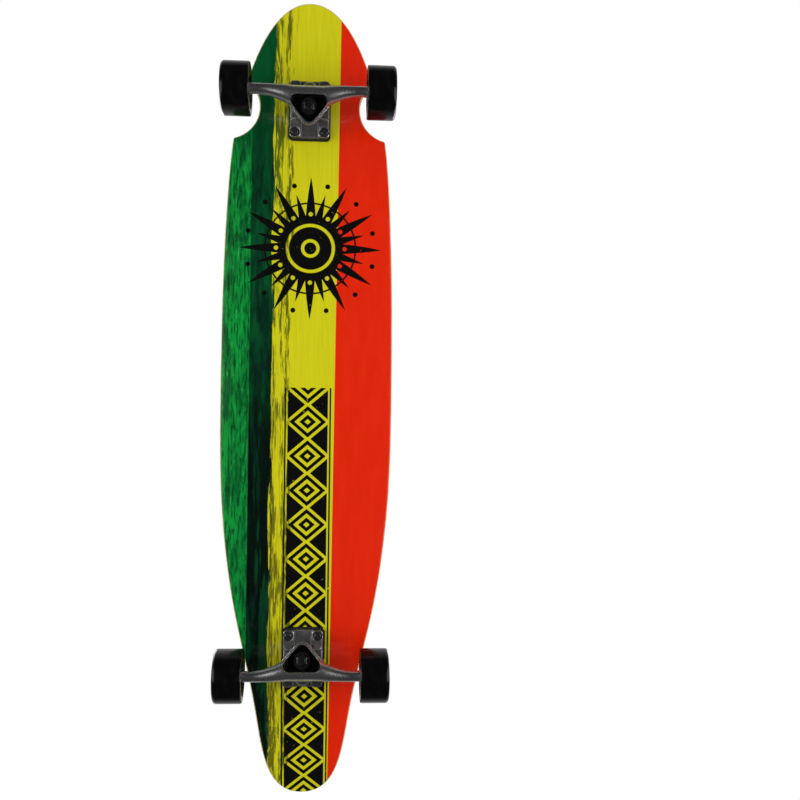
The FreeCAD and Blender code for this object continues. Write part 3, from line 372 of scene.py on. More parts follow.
red = w.mix(w.ramp(mottle, 0.35, 0.65), paint(224, 35, 5), paint(230, 40, 7))
into_red = w.minus(y, w.plus(RED_START, w.times(x, PRINT_SKEW)))
colour = w.mix(w.step(into_red, 0.0, 0.3), colour, red)
w.plug(colour, out["Colour"])
print("yellow runs from", GREEN_END, "to", RED_START, "mm")

# %% [markdown]
# ### A black rosette and a column of diamonds
# Boards of this kind often carry a black print over the stripes. This one has plain ornament: a rosette of
# rays and rings near the front truck, and a column of diamonds from the middle to the tail. Both follow a
# rule, so a few sums draw them sharp at any size. In the rosette, folding the angle repeats one ray all the
# way round. Its sizes are shares of its radius.

# %% Group: rosette
ROSETTE_CENTRE = (215.0, 3.0, 0.0)
ROSETTE_RADIUS = 100.0
ROSETTE_RAYS = 12
RAY_FOOT = 0.36
INK_EDGE = 0.006

w, into, out = new_group("Rosette", {"Position": "Vector"}, {"Mask": "Float"})
x, y, _ = w.split(w.vector("SUBTRACT", into["Position"], ROSETTE_CENTRE))
share = w.over(w.length(x, y), ROSETTE_RADIUS)
turn = w.times(w.math("ARCTAN2", y, x), ROSETTE_RAYS / math.tau)


def band(low, high):
    """A ring between two radii."""
    return w.times(w.step(share, low, INK_EDGE), w.step(share, high, -INK_EDGE))


def rays(offset, tip, sharpness):
    """Pointed rays: how far out a ray reaches falls off with the angle from its middle line."""
    fold = w.math("PINGPONG", w.plus(turn, offset), 0.5)
    lean = w.math("POWER", w.minus(1.0, w.times(fold, 2.0)), sharpness)
    return w.step(w.minus(w.between(lean, RAY_FOOT, tip), share), 0.0, INK_EDGE)


def dots(offset, station, size):
    """Round dots on a ring, one to each ray."""
    fold = w.math("PINGPONG", w.plus(turn, offset), 0.5)
    across = w.times(w.times(fold, math.tau / ROSETTE_RAYS), share)
    apart = w.length(across, w.minus(share, station))
    return w.step(apart, size, -INK_EDGE)


long_rays = rays(offset=0.0, tip=1.0, sharpness=2.2)
short_rays = rays(offset=0.5, tip=0.78, sharpness=2.6)
star = w.math("MAXIMUM", long_rays, short_rays)
ink = w.minus(star, band(low=0.30, high=0.345))
ink = w.minus(ink, band(low=0.0, high=0.13))
ink = w.math("MAXIMUM", ink, band(low=0.0, high=0.085))
ink = w.math("MAXIMUM", ink, dots(offset=0.5, station=0.90, size=0.035))
thin_ring = band(low=0.62, high=0.645)
ink = w.math("MAXIMUM", ink, w.times(thin_ring, w.minus(1.0, star)))
ink = w.minus(ink, dots(offset=0.0, station=0.48, size=0.030))
w.plug(w.math("MAXIMUM", ink, 0.0), out["Mask"])
print("rosette", 2 * ROSETTE_RADIUS, "mm across with", 2 * ROSETTE_RAYS, "rays")

# %% [markdown]
# The column repeats along the board, so here the length is folded. Inside one cell, the distance along plus
# the distance aside grows evenly from the middle of a diamond to its edge, and black and bare bands follow
# from where that sum lies. Solid wedges fill the corners between diamonds, and a thin rail runs down each
# side.

# %% Group: column of diamonds
COLUMN_MIDDLE = 2.5
COLUMN_HALF_WIDTH = 28.0
COLUMN_START = 20.0
COLUMN_PITCH = 48.0
COLUMN_EDGE = 0.012
RING_OUTER, RING_INNER = 0.92, 0.66
CORE_OUTER, CORE_INNER = 0.42, 0.16
RAIL_OUTER, RAIL_INNER = 1.16, 1.08
WEDGE_REACH = 0.86

w, into, out = new_group("Column of diamonds", {"Position": "Vector"}, {"Mask": "Float"})
x, y, _ = w.split(into["Position"])
along = w.minus(COLUMN_START, x)
cell = w.math("PINGPONG", w.over(along, COLUMN_PITCH), 0.5)
aside = w.over(w.math("ABSOLUTE", w.minus(y, COLUMN_MIDDLE)), COLUMN_HALF_WIDTH)
diamond = w.plus(w.times(cell, 2.0), aside)


def below(value, limit):
    """One below the limit, zero above it."""
    return w.step(value, limit, -COLUMN_EDGE)


ring = w.minus(below(diamond, RING_OUTER), below(diamond, RING_INNER))
ring = w.plus(ring, below(diamond, CORE_OUTER))
ring = w.minus(ring, below(diamond, CORE_INNER))
wedge = w.times(below(w.minus(2.0, diamond), WEDGE_REACH), below(aside, 1.0))
rail = w.times(below(aside, RAIL_OUTER), w.minus(1.0, below(aside, RAIL_INNER)))
ink = w.math("MAXIMUM", w.times(ring, below(aside, 1.0)), w.math("MAXIMUM", wedge, rail))
ink = w.times(ink, w.ramp(along, 0.0, 0.6))
w.plug(ink, out["Mask"])
print("diamonds every", COLUMN_PITCH, "mm")

# %% [markdown]
# ### The deck
# Seven maple veneers show on the edge. Those with grain along the board are pale, the cross veneers are
# darker and show end grain, and a thin glue line parts them. Strips of mesh could stand for the layers, but
# the depth already says which veneer a point lies in, so the layers can be pure colour.

# %% Group: maple veneers
VENEERS = 7
CROSS_EVERY = 3.0

w, into, out = new_group("Maple veneers", {"Position": "Vector", "Depth": "Float"}, {"Colour": "Color"})
spot = into["Position"]
level = w.over(into["Depth"], DECK_THICKNESS / VENEERS)
inside = w.math("FRACT", level)
count = w.math("FLOOR", w.plus(level, float(VENEERS)))
crossed = w.math("COMPARE", w.math("MODULO", count, CROSS_EVERY), 2.0, 0.5)
long_grain = w.noise(spot, (55.0, 1.2, 1.2), detail=5.0, roughness=0.6)
cross_grain = w.noise(spot, (0.7, 20.0, 0.6), detail=4.0, roughness=0.6)
pale = w.mix(w.ramp(long_grain, 0.3, 0.7), paint(203, 168, 120), paint(228, 200, 156))
deep = w.mix(w.ramp(cross_grain, 0.3, 0.7), paint(140, 98, 60), paint(182, 138, 92))
wood = w.mix(crossed, pale, deep)
glue_line = w.ramp(w.math("PINGPONG", inside, 0.5), 0.07, 0.02)
w.plug(w.tint(wood, glue_line, 0.75, paint(92, 62, 38)), out["Colour"])
print(VENEERS, "veneers of", round(DECK_THICKNESS / VENEERS, 2), "mm")

# %% [markdown]
# On the board, the print lies on the lowest veneer and wraps a little way round the edge, a bit unevenly. A
# clear coat lies over everything. One finish can do all of it: near depth zero it shows the print, and
# further in the wood. Nothing else is needed to tell the underside from the edge. A slow noise in the gloss
# keeps large reflections from looking computed.

# %% Finish: deck
PRINT_WRAP = 0.45
WRAP_WANDER = 0.5
BARE_GLOSS = 0.55

deck_finish, w, shader = new_finish("deck_print_and_ply", Coat_Weight=0.1, Coat_Roughness=0.05, IOR=1.42)
spot = w.position()
depth = use_group(w, "Depth in the sheet", Position=spot)["Depth"]
stripes = use_group(w, "Painted stripes", Position=spot)["Colour"]
rosette = use_group(w, "Rosette", Position=spot)["Mask"]
diamonds = use_group(w, "Column of diamonds", Position=spot)["Mask"]
wear = w.noise(spot, (6.0, 6.0, 6.0), detail=8.0, roughness=0.7)
ink = w.times(w.math("MAXIMUM", rosette, diamonds), w.ramp(wear, 0.28, 0.36))
printed = w.mix(ink, stripes, paint(12, 12, 10))
veneers = use_group(w, "Maple veneers", Position=spot, Depth=depth)["Colour"]
wrap = w.plus(PRINT_WRAP, w.sway(wear, WRAP_WANDER))
bare = w.step(w.minus(depth, wrap), 0.0, 0.15)
w.plug(w.mix(bare, printed, veneers), shader["Base Color"])
haze = w.noise(spot, (120.0, 60.0, 60.0), detail=5.0)
w.plug(w.between(bare, w.between(haze, 0.08, 0.17), BARE_GLOSS), shader["Roughness"])
fibre = w.noise(spot, (40.0, 0.9, 0.9), detail=3.0)
w.plug(w.bump(fibre, 0.03, 0.5), shader["Normal"])
print(deck_finish.name)

# %% [markdown]
# ### Grip tape
# The tape is black abrasive cloth, glued on the top. What makes it read as grit is not its colour but the
# grains: each one catches the light at its own angle. Cells of about half a millimetre give every grain a
# height and a tone, a few of them are painted pale and glossy as painted glints, and a slow noise adds the
# grey scuffs of standing feet.

# %% Finish: grip tape
GRAIN_SIZE = 0.55

grip_finish, w, shader = new_finish("grip_grit", Specular_IOR_Level=0.12)
spot = w.position()
cells = w.vector("DIVIDE", spot, (GRAIN_SIZE,) * 3)
grit = w.add("ShaderNodeTexVoronoi", {"Vector": cells, "Scale": 1.0, "Randomness": 1.0})
shade = w.split(grit.outputs["Color"])
scuff = w.noise(spot, (90.0, 60.0, 60.0), detail=7.0, roughness=0.65)
body = w.mix(shade[0], paint(17, 18, 19), paint(36, 38, 39))
body = w.tint(body, w.ramp(scuff, 0.52, 0.76), 0.25, paint(54, 55, 56))
# Painted glints: the palest few grains get a pale colour and a low roughness that stand in for sparkle.
painted_glint = w.ramp(shade[1], 0.98, 0.996)
w.plug(w.mix(painted_glint, body, paint(86, 88, 91)), shader["Base Color"])
w.plug(w.between(painted_glint, 0.88, 0.35), shader["Roughness"])
peak = w.minus(1.0, grit.outputs["Distance"])
height = w.times(peak, w.between(shade[2], 0.4, 1.0))
w.plug(w.bump(height, 0.30, 0.9), shader["Normal"])
print("grit grains of", GRAIN_SIZE, "mm")

# %% [markdown]
# ### Cast and polished aluminium
# Hangers and base plates are aluminium castings, polished or only tumbled. Either leaves the high parts
# bright and the skin of the casting slightly grained, with faint scratches. The tone and the roughness
# share one noise, so that dull spots are also darker.

# %% Group: cast skin
w, into, out = new_group("Cast skin", {"Position": "Vector"}, {"Tone": "Float", "Height": "Float"})
spot = into["Position"]
cloud = w.noise(spot, (14.0, 14.0, 14.0), detail=6.0, roughness=0.6)
skin = w.noise(spot, (0.9, 0.9, 0.9), detail=4.0, roughness=0.6)
scratch = w.noise(spot, (0.35, 9.0, 9.0), detail=2.0)
tone = w.plus(w.times(cloud, 0.6), w.times(skin, 0.4))
w.plug(w.ramp(tone, 0.34, 0.68), out["Tone"])
w.plug(w.plus(w.times(skin, 0.7), w.times(scratch, 0.3)), out["Height"])
print("the skin is a group of", len(w.tree.nodes), "nodes")

# %% [markdown]
# Tumbling polishes the edges of a casting first, and a polishing wheel can't reach into the pocket of the
# yoke. So the points of a casting carry two values, edge and pocket, which are measured from its mesh
# further down. On an edge the metal is smooth and painted paler, partly for the polish and partly as a
# painted highlight. In the pocket it is dull and painted dark as painted shade. A base plate has no
# pocket, and a missing value reads as zero. The hanger is polished outside, while the base plate was only
# tumbled, so its faces are rougher, and they are painted darker as painted shade.

# %% Finishes: cast aluminium
# The edge colour is partly polish and partly a painted highlight on the rims.
RUBBED_HIGHLIGHT_COLOUR, RUBBED_GLOSS = paint(244, 244, 245), 0.2
# The pocket's near-black colour is painted shade.
POCKET_SHADE_COLOUR, POCKET_GLOSS = paint(34, 34, 35), 0.5


def cast_aluminium(name, dull, bright, rough, smooth):
    """Cast metal whose tone and gloss follow its skin, its edges with their painted highlight, and its
    pocket with its painted shade.
    """
    material, w, shader = new_finish(name, Metallic=1.0)
    skin = use_group(w, "Cast skin", Position=w.position())
    edge = w.add("ShaderNodeAttribute", attribute_name="edge").outputs["Fac"]
    pocket = w.add("ShaderNodeAttribute", attribute_name="pocket").outputs["Fac"]
    rubbed_and_highlight = w.times(edge, w.between(skin["Tone"], 0.6, 1.0))
    metal = w.mix(skin["Tone"], paint(*dull), paint(*bright))
    # Painted highlight, partly polish: the edges are painted paler.
    metal = w.mix(rubbed_and_highlight, metal, RUBBED_HIGHLIGHT_COLOUR)
    # Painted shade: the pocket is painted near black.
    w.plug(w.mix(pocket, metal, POCKET_SHADE_COLOUR), shader["Base Color"])
    gloss = w.between(rubbed_and_highlight, w.between(skin["Tone"], rough, smooth), RUBBED_GLOSS)
    w.plug(w.between(pocket, gloss, POCKET_GLOSS), shader["Roughness"])
    w.plug(w.bump(skin["Height"], 0.03, 0.45), shader["Normal"])
    return material


hanger_finish = cast_aluminium("polished_aluminium", (190, 190, 192), (230, 230, 232), 0.34, 0.22)
# The base plate's darker colours are painted shade, as under the hanger; its higher roughness is the
# tumbled skin.
shaded_plate_finish = cast_aluminium("shaded_tumbled_aluminium", (112, 112, 114), (160, 160, 162), 0.42, 0.28)
print(hanger_finish.name, shaded_plate_finish.name)

# %% [markdown]
# ### Round the axle
# Wheels, bearings, spacers and the axle itself are all turned, so their marks run in rings. A ring needs to
# know its own axle. There are two, so the group takes the one on the point's side of the board, and gives
# back the radius from it and the station along it.

# %% Group: round the axle
w, into, out = new_group("Round the axle", {"Position": "Vector"}, {"Radius": "Float", "Station": "Float"})
x, y, z = w.split(into["Position"])
ahead = w.math("GREATER_THAN", x, 0.0)
home = w.between(ahead, axle_middle["rear"].x / MM, axle_middle["front"].x / MM)
across = w.minus(x, home)
up = w.minus(z, axle_middle["front"].z / MM)
w.plug(w.length(across, up), out["Radius"])
w.plug(w.math("ABSOLUTE", y), out["Station"])
print("rings run round both axles")

# %% [markdown]
# ### Turned and plated steel
# Axles, races, washers and spacers are the same kind of thing with different plating: bright metal with
# fine rings from the lathe and a little clouding. One function makes them all, and each call names its own
# colours. Black oxide and the dark zinc of the deck bolts are a little duller than bright zinc. Bolts, nuts
# and kingpins use the rings too, although their own marks run round other axes, because rings this fine
# are too small to tell apart.

# %% Finishes: steels


def turned_steel(name, dull, bright, smooth, rough, ring_size=0.25, ring_depth=0.012):
    """Turned metal whose colour and roughness drift between two values, with fine lathe rings."""
    material, w, shader = new_finish(name, Metallic=1.0)
    spot = w.position()
    round_axle = use_group(w, "Round the axle", Position=spot)
    cloud = w.noise(spot, (5.0, 5.0, 5.0), detail=6.0, roughness=0.65)
    drift = w.ramp(cloud, 0.32, 0.68)
    w.plug(w.mix(drift, paint(*dull), paint(*bright)), shader["Base Color"])
    w.plug(w.between(drift, rough, smooth), shader["Roughness"])
    lane = w.plus(round_axle["Radius"], round_axle["Station"])
    w.plug(w.bump(w.rings(lane, ring_size, 2.0), ring_depth, 0.7), shader["Normal"])
    return material


zinc_finish = turned_steel("bright_zinc", (150, 152, 156), (206, 207, 208), 0.22, 0.38)
bolt_finish = turned_steel("dark_zinc", (66, 66, 68), (118, 118, 120), 0.26, 0.46)
oxide_finish = turned_steel("black_oxide", (44, 44, 46), (92, 92, 95), 0.24, 0.4)
race_finish = turned_steel("ground_race_steel", (160, 161, 164), (214, 215, 217), 0.14, 0.26, 0.12, 0.006)
ball_finish = turned_steel("polished_ball_steel", (196, 197, 200), (228, 229, 231), 0.05, 0.12, 0.3, 0.001)
shield_finish = turned_steel("pressed_shield_steel", (38, 38, 42), (70, 70, 75), 0.24, 0.40, 0.4, 0.02)
print("plated:", zinc_finish.name, bolt_finish.name, oxide_finish.name)
print("in the bearings:", race_finish.name, ball_finish.name, shield_finish.name)

# %% [markdown]
# ### Wheel urethane
# The wheels are glossy black urethane, ground on a lathe, so the tread carries fine rings and a slightly
# duller band where it rolls. The radius from the axle tells the tread from the faces, so no second material
# is needed. A little dust sits on the tread only, where a noise lets it.

# %% Finish: wheel urethane
tyre_low, tyre_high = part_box("front_left_tyre")
TYRE_RADIUS = (tyre_high.z - tyre_low.z) / 2 / MM
TYRE_RING_SIZE = 0.5

tyre_finish, w, shader = new_finish("black_wheel_urethane", IOR=1.4, Coat_Weight=0.08, Coat_Roughness=0.05)
spot = w.position()
round_axle = use_group(w, "Round the axle", Position=spot)
cloud = w.noise(spot, (16.0, 9.0, 16.0), detail=6.0, roughness=0.6)
tread = w.ramp(round_axle["Radius"], TYRE_RADIUS - 0.6, TYRE_RADIUS - 0.1)
dust = w.times(tread, w.ramp(cloud, 0.45, 0.75))
w.plug(w.tint(paint(4, 4, 5), dust, 0.4, paint(20, 19, 18)), shader["Base Color"])
face_gloss = w.between(cloud, 0.10, 0.18)
tread_gloss = w.between(cloud, 0.12, 0.28)
w.plug(w.between(tread, face_gloss, tread_gloss), shader["Roughness"])
lane = w.plus(round_axle["Radius"], round_axle["Station"])
w.plug(w.bump(w.rings(lane, TYRE_RING_SIZE, 3.0), 0.02, 0.5), shader["Normal"])
print("tyre radius", round(TYRE_RADIUS, 2), "mm")

# %% [markdown]
# ### Moulded rubber and nylon
# Bushings are urethane with a satin skin, riser pads are matt rubber, and wheel cores, bearing cages and
# the rings in the nuts are moulded nylon. They differ in colour, gloss and pebble, not in kind, so one
# function serves. Its roughness wanders over some millimetres, which makes a moulding look soft.

# %% Finishes: bushings, rubber and nylon


def moulded(name, dark, pale, smooth, rough, pebble, depth):
    """A moulded skin: two close shades, drifting gloss and a fine pebble."""
    material, w, shader = new_finish(name, IOR=1.5)
    spot = w.position()
    cloud = w.noise(spot, (9.0, 9.0, 9.0), detail=5.0, roughness=0.6)
    fine = w.noise(spot, (pebble,) * 3, detail=3.0)
    w.plug(w.mix(w.ramp(cloud, 0.3, 0.7), paint(*dark), paint(*pale)), shader["Base Color"])
    w.plug(w.between(cloud, smooth, rough), shader["Roughness"])
    w.plug(w.bump(fine, depth, 0.7), shader["Normal"])
    return material


bushing_finish = moulded("satin_black_urethane", (10, 10, 11), (22, 22, 23), 0.26, 0.46, 1.5, 0.02)
rubber_finish = moulded("matt_black_rubber", (14, 14, 14), (30, 30, 29), 0.55, 0.85, 0.5, 0.05)
core_finish = moulded("black_core_nylon", (16, 16, 17), (34, 34, 36), 0.28, 0.44, 0.8, 0.02)
cage_finish = moulded("pale_cage_nylon", (150, 138, 108), (206, 194, 160), 0.35, 0.55, 0.6, 0.02)
insert_finish = moulded("white_nut_nylon", (170, 170, 164), (214, 214, 208), 0.35, 0.55, 0.7, 0.02)
print("soft:", bushing_finish.name, rubber_finish.name)
print("nylon:", core_finish.name, cage_finish.name, insert_finish.name)

# %% [markdown]
# ## Dressing the nodes that keep their own shape
# Where the packed shape is right, only its finish changes. The deck, tape, pads, washers, deck bolts and
# the insides of the wheels stay as they are, each with the finish of the real thing.

# %% Give the plain nodes their finishes


def dress(finish, *names):
    """Gives a finish to packed nodes."""
    for name in names:
        nodes[name].material_slots[0].material = finish
    print(finish.name, "on", len(names), "nodes")


dress(deck_finish, "deck")
dress(grip_finish, "grip_tape")
dress(rubber_finish, *(end + "_riser_pad" for end in ENDS))
dress(bushing_finish, *(end + "_pivot_cup" for end in ENDS))
dress(zinc_finish, *(end + "_boardside_washer" for end in ENDS))
dress(oxide_finish, *(end + "_roadside_washer" for end in ENDS))
dress(zinc_finish, *(f"{end}_{part}" for end in ENDS for part in ("bearing_spacers", "speed_rings")))
dress(bolt_finish, *(end + "_mounting_bolts" for end in ENDS))
dress(race_finish, *(end + "_inner_races" for end in ENDS), *(wheel + "_outer_races" for wheel in WHEELS))
dress(shield_finish, *(wheel + "_bearing_shields" for wheel in WHEELS))
dress(ball_finish, *(wheel + "_bearing_balls" for wheel in WHEELS))
dress(cage_finish, *(wheel + "_bearing_cages" for wheel in WHEELS))
dress(core_finish, *(wheel + "_wheel_core" for wheel in WHEELS))

# %% [markdown]
# ## Pieces with a better mesh
# The next pieces stand for packed nodes. Each is drawn or copied in place, so its object stays at the
# origin, and then it is told which body it rides on, and the node it stands for is hidden. Modifiers are
# worked out at once, so that every piece ends as a plain mesh.

# %% Helpers for new pieces
WELD = 1e-6
FINE_WELD = 1e-7
TURNED_CREASE = math.radians(40)


def new_object(name, mesh):
    """An object at the origin."""
    piece = bpy.data.objects.new(name, mesh)
    bpy.context.scene.collection.objects.link(piece)
    return piece


def settle(piece):
    """Turns a piece with modifiers into a plain mesh."""
    bpy.context.view_layer.update()
    evaluated = piece.evaluated_get(bpy.context.evaluated_depsgraph_get())
    mesh = bpy.data.meshes.new_from_object(evaluated)
    piece.modifiers.clear()
    piece.data = mesh
    return piece


def merged_copy(name, node):
    """A copy of a packed mesh with its loose triangles joined."""
    mesh = bpy.data.meshes.new(name)
    work = bmesh.new()
    work.from_mesh(nodes[node].data)
    bmesh.ops.remove_doubles(work, verts=work.verts, dist=WELD)
    work.to_mesh(mesh)
    work.free()
    return new_object(name, mesh)


def face_outward(mesh, weld=0.0):
    """Turns all faces of a mesh outward, after joining points that lie within the weld distance."""
    work = bmesh.new()
    work.from_mesh(mesh)
    if weld:
        bmesh.ops.remove_doubles(work, verts=work.verts, dist=weld)
    bmesh.ops.recalc_face_normals(work, faces=work.faces)
    work.to_mesh(mesh)
    work.free()


def finish_piece(piece, material, slot, body, *stands_for):
    """Gives a piece its material and body, where they are given, and hides the nodes it stands for. The
    slot is not used.
    """
    if material:
        piece.data.materials.clear()
        piece.data.materials.append(material)
    if body:
        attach(piece, body)
    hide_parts(*stands_for)
    print(piece.name, "has", len(piece.data.polygons), "faces and stands for", ", ".join(stands_for))


print("points closer than", WELD, "m are joined")

# %% [markdown]
# ### Castings
# A casting has no sharp inner corners: metal flows round them. Bevelling hundreds of edges by hand is slow,
# and it easily fails where round arms meet the yoke. A voxel remesh turns the packed shape into an even
# skin instead, and a few rounds of smoothing melt its edges by about a millimetre.

# %% Melt a packed shape into a casting
CAST_VOXEL = 0.6 * MM
HANGER_SMOOTHING = 8
PLATE_SMOOTHING = 3


def smoothed(piece, rounds, group=""):
    """Adds rounds of smoothing to a piece, or to one vertex group of it."""
    melt = piece.modifiers.new("melt", "SMOOTH")
    melt.factor = 0.5
    melt.iterations = rounds
    melt.vertex_group = group


def casting(node, rounds):
    """The packed shape with an even skin and melted edges."""
    piece = merged_copy(node + "_casting", node)
    skin = piece.modifiers.new("skin", "REMESH")
    skin.mode = "VOXEL"
    skin.voxel_size = CAST_VOXEL
    skin.use_smooth_shade = True
    smoothed(piece, rounds)
    return settle(piece)


print("castings have a skin of", CAST_VOXEL / MM, "mm")

# %% [markdown]
# An edge is where a point stands out from the middle of its neighbours. The mean of the neighbours comes
# from the mesh's list of edges, for all points at once. Taking the mean of the result a few times more
# removes most of the grain that the voxels leave, and what still stands out by a hundredth or two of a
# millimetre counts as an edge.

# %% Measure the edges of a casting
EDGE_START = 0.007 * MM
EDGE_FULL = 0.026 * MM
EDGE_ROUNDS = 4


def mark_edges(piece):
    """Stores how far each point stands out from its neighbours, from 0 on a flat to 1 on an edge."""
    mesh = piece.data
    points, normals = (numpy.empty((len(mesh.vertices), 3)) for _ in range(2))
    mesh.vertices.foreach_get("co", points.ravel())
    mesh.vertices.foreach_get("normal", normals.ravel())
    pairs = numpy.empty((len(mesh.edges), 2), dtype=int)
    mesh.edges.foreach_get("vertices", pairs.ravel())
    first, second = pairs.T
    counts = numpy.bincount(pairs.ravel())

    def neighbours_mean(values):
        total = numpy.zeros_like(values)
        numpy.add.at(total, first, values[second])
        numpy.add.at(total, second, values[first])
        return (total.T / counts).T

    bulge = ((points - neighbours_mean(points)) * normals).sum(axis=1)
    for _ in range(EDGE_ROUNDS):
        bulge = neighbours_mean(bulge)
    edge = numpy.clip((bulge - EDGE_START) / (EDGE_FULL - EDGE_START), 0.0, 1.0)
    mesh.attributes.new("edge", "FLOAT", "POINT").data.foreach_set("value", edge)
    print(piece.name, "is edge over", round(100 * float(edge.mean()), 1), "% of its points")


print("an edge stands out by", EDGE_START / MM, "to", EDGE_FULL / MM, "mm")

# %% [markdown]
# The mouth of the yoke's pocket is rounder than the other edges, so it gets more rounds of smoothing, by a
# vertex group that fades out up the kingpin. On that soft rim the normals turn slowly from facing the road
# to facing the kingpin, and the painted shade in the pocket follows them, so that it fades in. Heights here
# are along the kingpin, from its lower washer.

# %% Round the mouth and mark the pocket
RIM_SMOOTHING = 36
POCKET_MOUTH = -3.0 * MM
POCKET_FLOOR = 12.5 * MM
POCKET_FADE = 5.0 * MM
POCKET_REACH = 34.0 * MM
WALL_LEAN, WALL_RISE = 0.15, 0.55


def clamped(value):
    return min(max(value, 0.0), 1.0)


def round_mouth(piece, into_local):
    """Smooths the rim of the yoke's pocket by more rounds than the rest."""
    group = piece.vertex_groups.new(name="mouth")
    for vertex in piece.data.vertices:
        spot = into_local @ vertex.co
        near = clamped((POCKET_MOUTH + POCKET_FADE - spot.z) / POCKET_FADE)
        if near > 0 and spot.xy.length < POCKET_REACH:
            group.add([vertex.index], near, "REPLACE")
    smoothed(piece, RIM_SMOOTHING, "mouth")
    return settle(piece)


def mark_pocket(piece, into_local):
    """Stores how far each point lies inside the pocket, on its walls or its ceiling: the mask of the
    painted shade.
    """
    shade = piece.data.attributes.new("pocket", "FLOAT", "POINT")
    turn = into_local.to_3x3()
    for vertex in piece.data.vertices:
        spot = into_local @ vertex.co
        facing = turn @ vertex.normal
        from_pin = max(spot.xy.length, WELD)
        inward = -(facing.x * spot.x + facing.y * spot.y) / from_pin
        above_mouth = (spot.z - POCKET_MOUTH) / POCKET_FADE
        wall = clamped((inward - WALL_LEAN) / WALL_RISE) * clamped(above_mouth + 1.0)
        ceiling = clamped(-facing.z) * clamped(above_mouth - 1.0)
        inside = from_pin < POCKET_REACH and spot.z < POCKET_FLOOR
        shade.data[vertex.index].value = max(wall, ceiling) if inside else 0.0


for end in ENDS:
    into_local = kingpin[end].inverted()
    hanger = round_mouth(casting(end + "_hanger", HANGER_SMOOTHING), into_local)
    mark_pocket(hanger, into_local)
    mark_edges(hanger)
    finish_piece(hanger, hanger_finish, "cast_aluminium", end + "_truck", end + "_hanger")
    plate = casting(end + "_baseplate", PLATE_SMOOTHING)
    mark_edges(plate)
    finish_piece(plate, shaded_plate_finish, "cast_aluminium", "board", end + "_baseplate")

# %% [markdown]
# ### Wheels
# A wheel is poured and then turned, so a lathe is the natural tool: draw half its section, round the
# corners and spin it. The Screw modifier does the spinning. A vertex Bevel rounds the small corners, which
# is less work than drawing them as points, so only the two large lips are drawn that way.

# %% A lathe
FACE_ROUNDING = 0.8 * MM
LATHE_STEPS = 128


def lathe(name, outline, rounded, place):
    """Spins an outline of (radius, station) about its station axis and rounds the numbered corners."""
    points = [(radius, station, 0) for radius, station in outline]
    lines = [(i, (i + 1) % len(points)) for i in range(len(points))]
    mesh = bpy.data.meshes.new(name)
    mesh.from_pydata(points, lines, [])
    piece = new_object(name, mesh)
    group = piece.vertex_groups.new(name="rounded")
    group.add(rounded, 1.0, "ADD")
    soften = piece.modifiers.new("soften", "BEVEL")
    soften.affect = "VERTICES"
    soften.width = FACE_ROUNDING
    soften.segments = 4
    soften.limit_method = "VGROUP"
    soften.vertex_group = "rounded"
    spin = piece.modifiers.new("spin", "SCREW")
    spin.axis = "Y"
    spin.steps = spin.render_steps = LATHE_STEPS
    spin.use_merge_vertices = True
    settle(piece)
    piece.data.transform(place)
    face_outward(piece.data, FINE_WELD)
    piece.data.shade_smooth()
    piece.data.set_sharp_from_angle(angle=TURNED_CREASE)
    return piece


print("the lathe turns in", LATHE_STEPS, "steps")

# %% [markdown]
# The section repeats the packed tyre: a flat tread, a large outer lip, a small inner lip, and two dished
# faces down to the core. It is drawn with the outer lip at the positive end, and mirrored for the wheels on
# the right, whose outer side points the other way.

# %% Turn the tyres
TYRE_HALF_WIDTH = span("front_left_tyre").y / 2
OUTER_LIP, INNER_LIP = 5 * MM, 2 * MM
FACE_RADIUS, BOND_RADIUS = 26.5 * MM, 17.05 * MM
BOND_HALF_WIDTH = 12.6 * MM


def quarter(centre, radius, start, steps=8):
    """Points of a quarter round about a centre, given as (radius, station)."""
    for step in range(steps + 1):
        angle = math.radians(start + 90 * step / steps)
        yield centre[0] + radius * math.cos(angle), centre[1] + radius * math.sin(angle)


def tyre_outline():
    """The tyre's section, and the numbers of its two face corners."""
    radius, face = TYRE_RADIUS * MM, TYRE_HALF_WIDTH
    outline = [(BOND_RADIUS, -BOND_HALF_WIDTH), (FACE_RADIUS, -face)]
    outline += quarter((radius - INNER_LIP, INNER_LIP - face), INNER_LIP, -90)
    outline += quarter((radius - OUTER_LIP, face - OUTER_LIP), OUTER_LIP, 0)
    outline += [(FACE_RADIUS, face), (BOND_RADIUS, BOND_HALF_WIDTH)]
    return outline, [1, len(outline) - 2]


for wheel in WHEELS:
    outward = 1 if wheel.endswith("left") else -1
    place = Matrix.Translation(middle(wheel + "_tyre")) @ Matrix.Diagonal((1, outward, 1, 1))
    tyre = lathe(wheel + "_urethane", *tyre_outline(), place)
    finish_piece(tyre, tyre_finish, "wheel_urethane", wheel + "_wheel", wheel + "_tyre")

# %% [markdown]
# ### Threads
# The axle's ends and the kingpin's tip are threaded. A thread follows a rule, so Geometry Nodes can grow
# it. A flat grid will be rolled into a rod along Z, and first each of its rows is given a station along the
# rod. Most rows go to the threaded ends and few to the plain middle. The sizes are inputs of the tree, so
# the same tree makes axles and kingpins.

# %% Node tree: threaded rod
ROUND_STEPS = 40
LENGTH_ROWS = 260
END_ROWS = 3.0
PLAIN_SHARE = 0.04
SHAPE = {"Geometry": "Geometry"}
ROD_SIZES = ("Radius", "Half length", "Thread length", "Pitch", "Thread depth", "Tip chamfer")

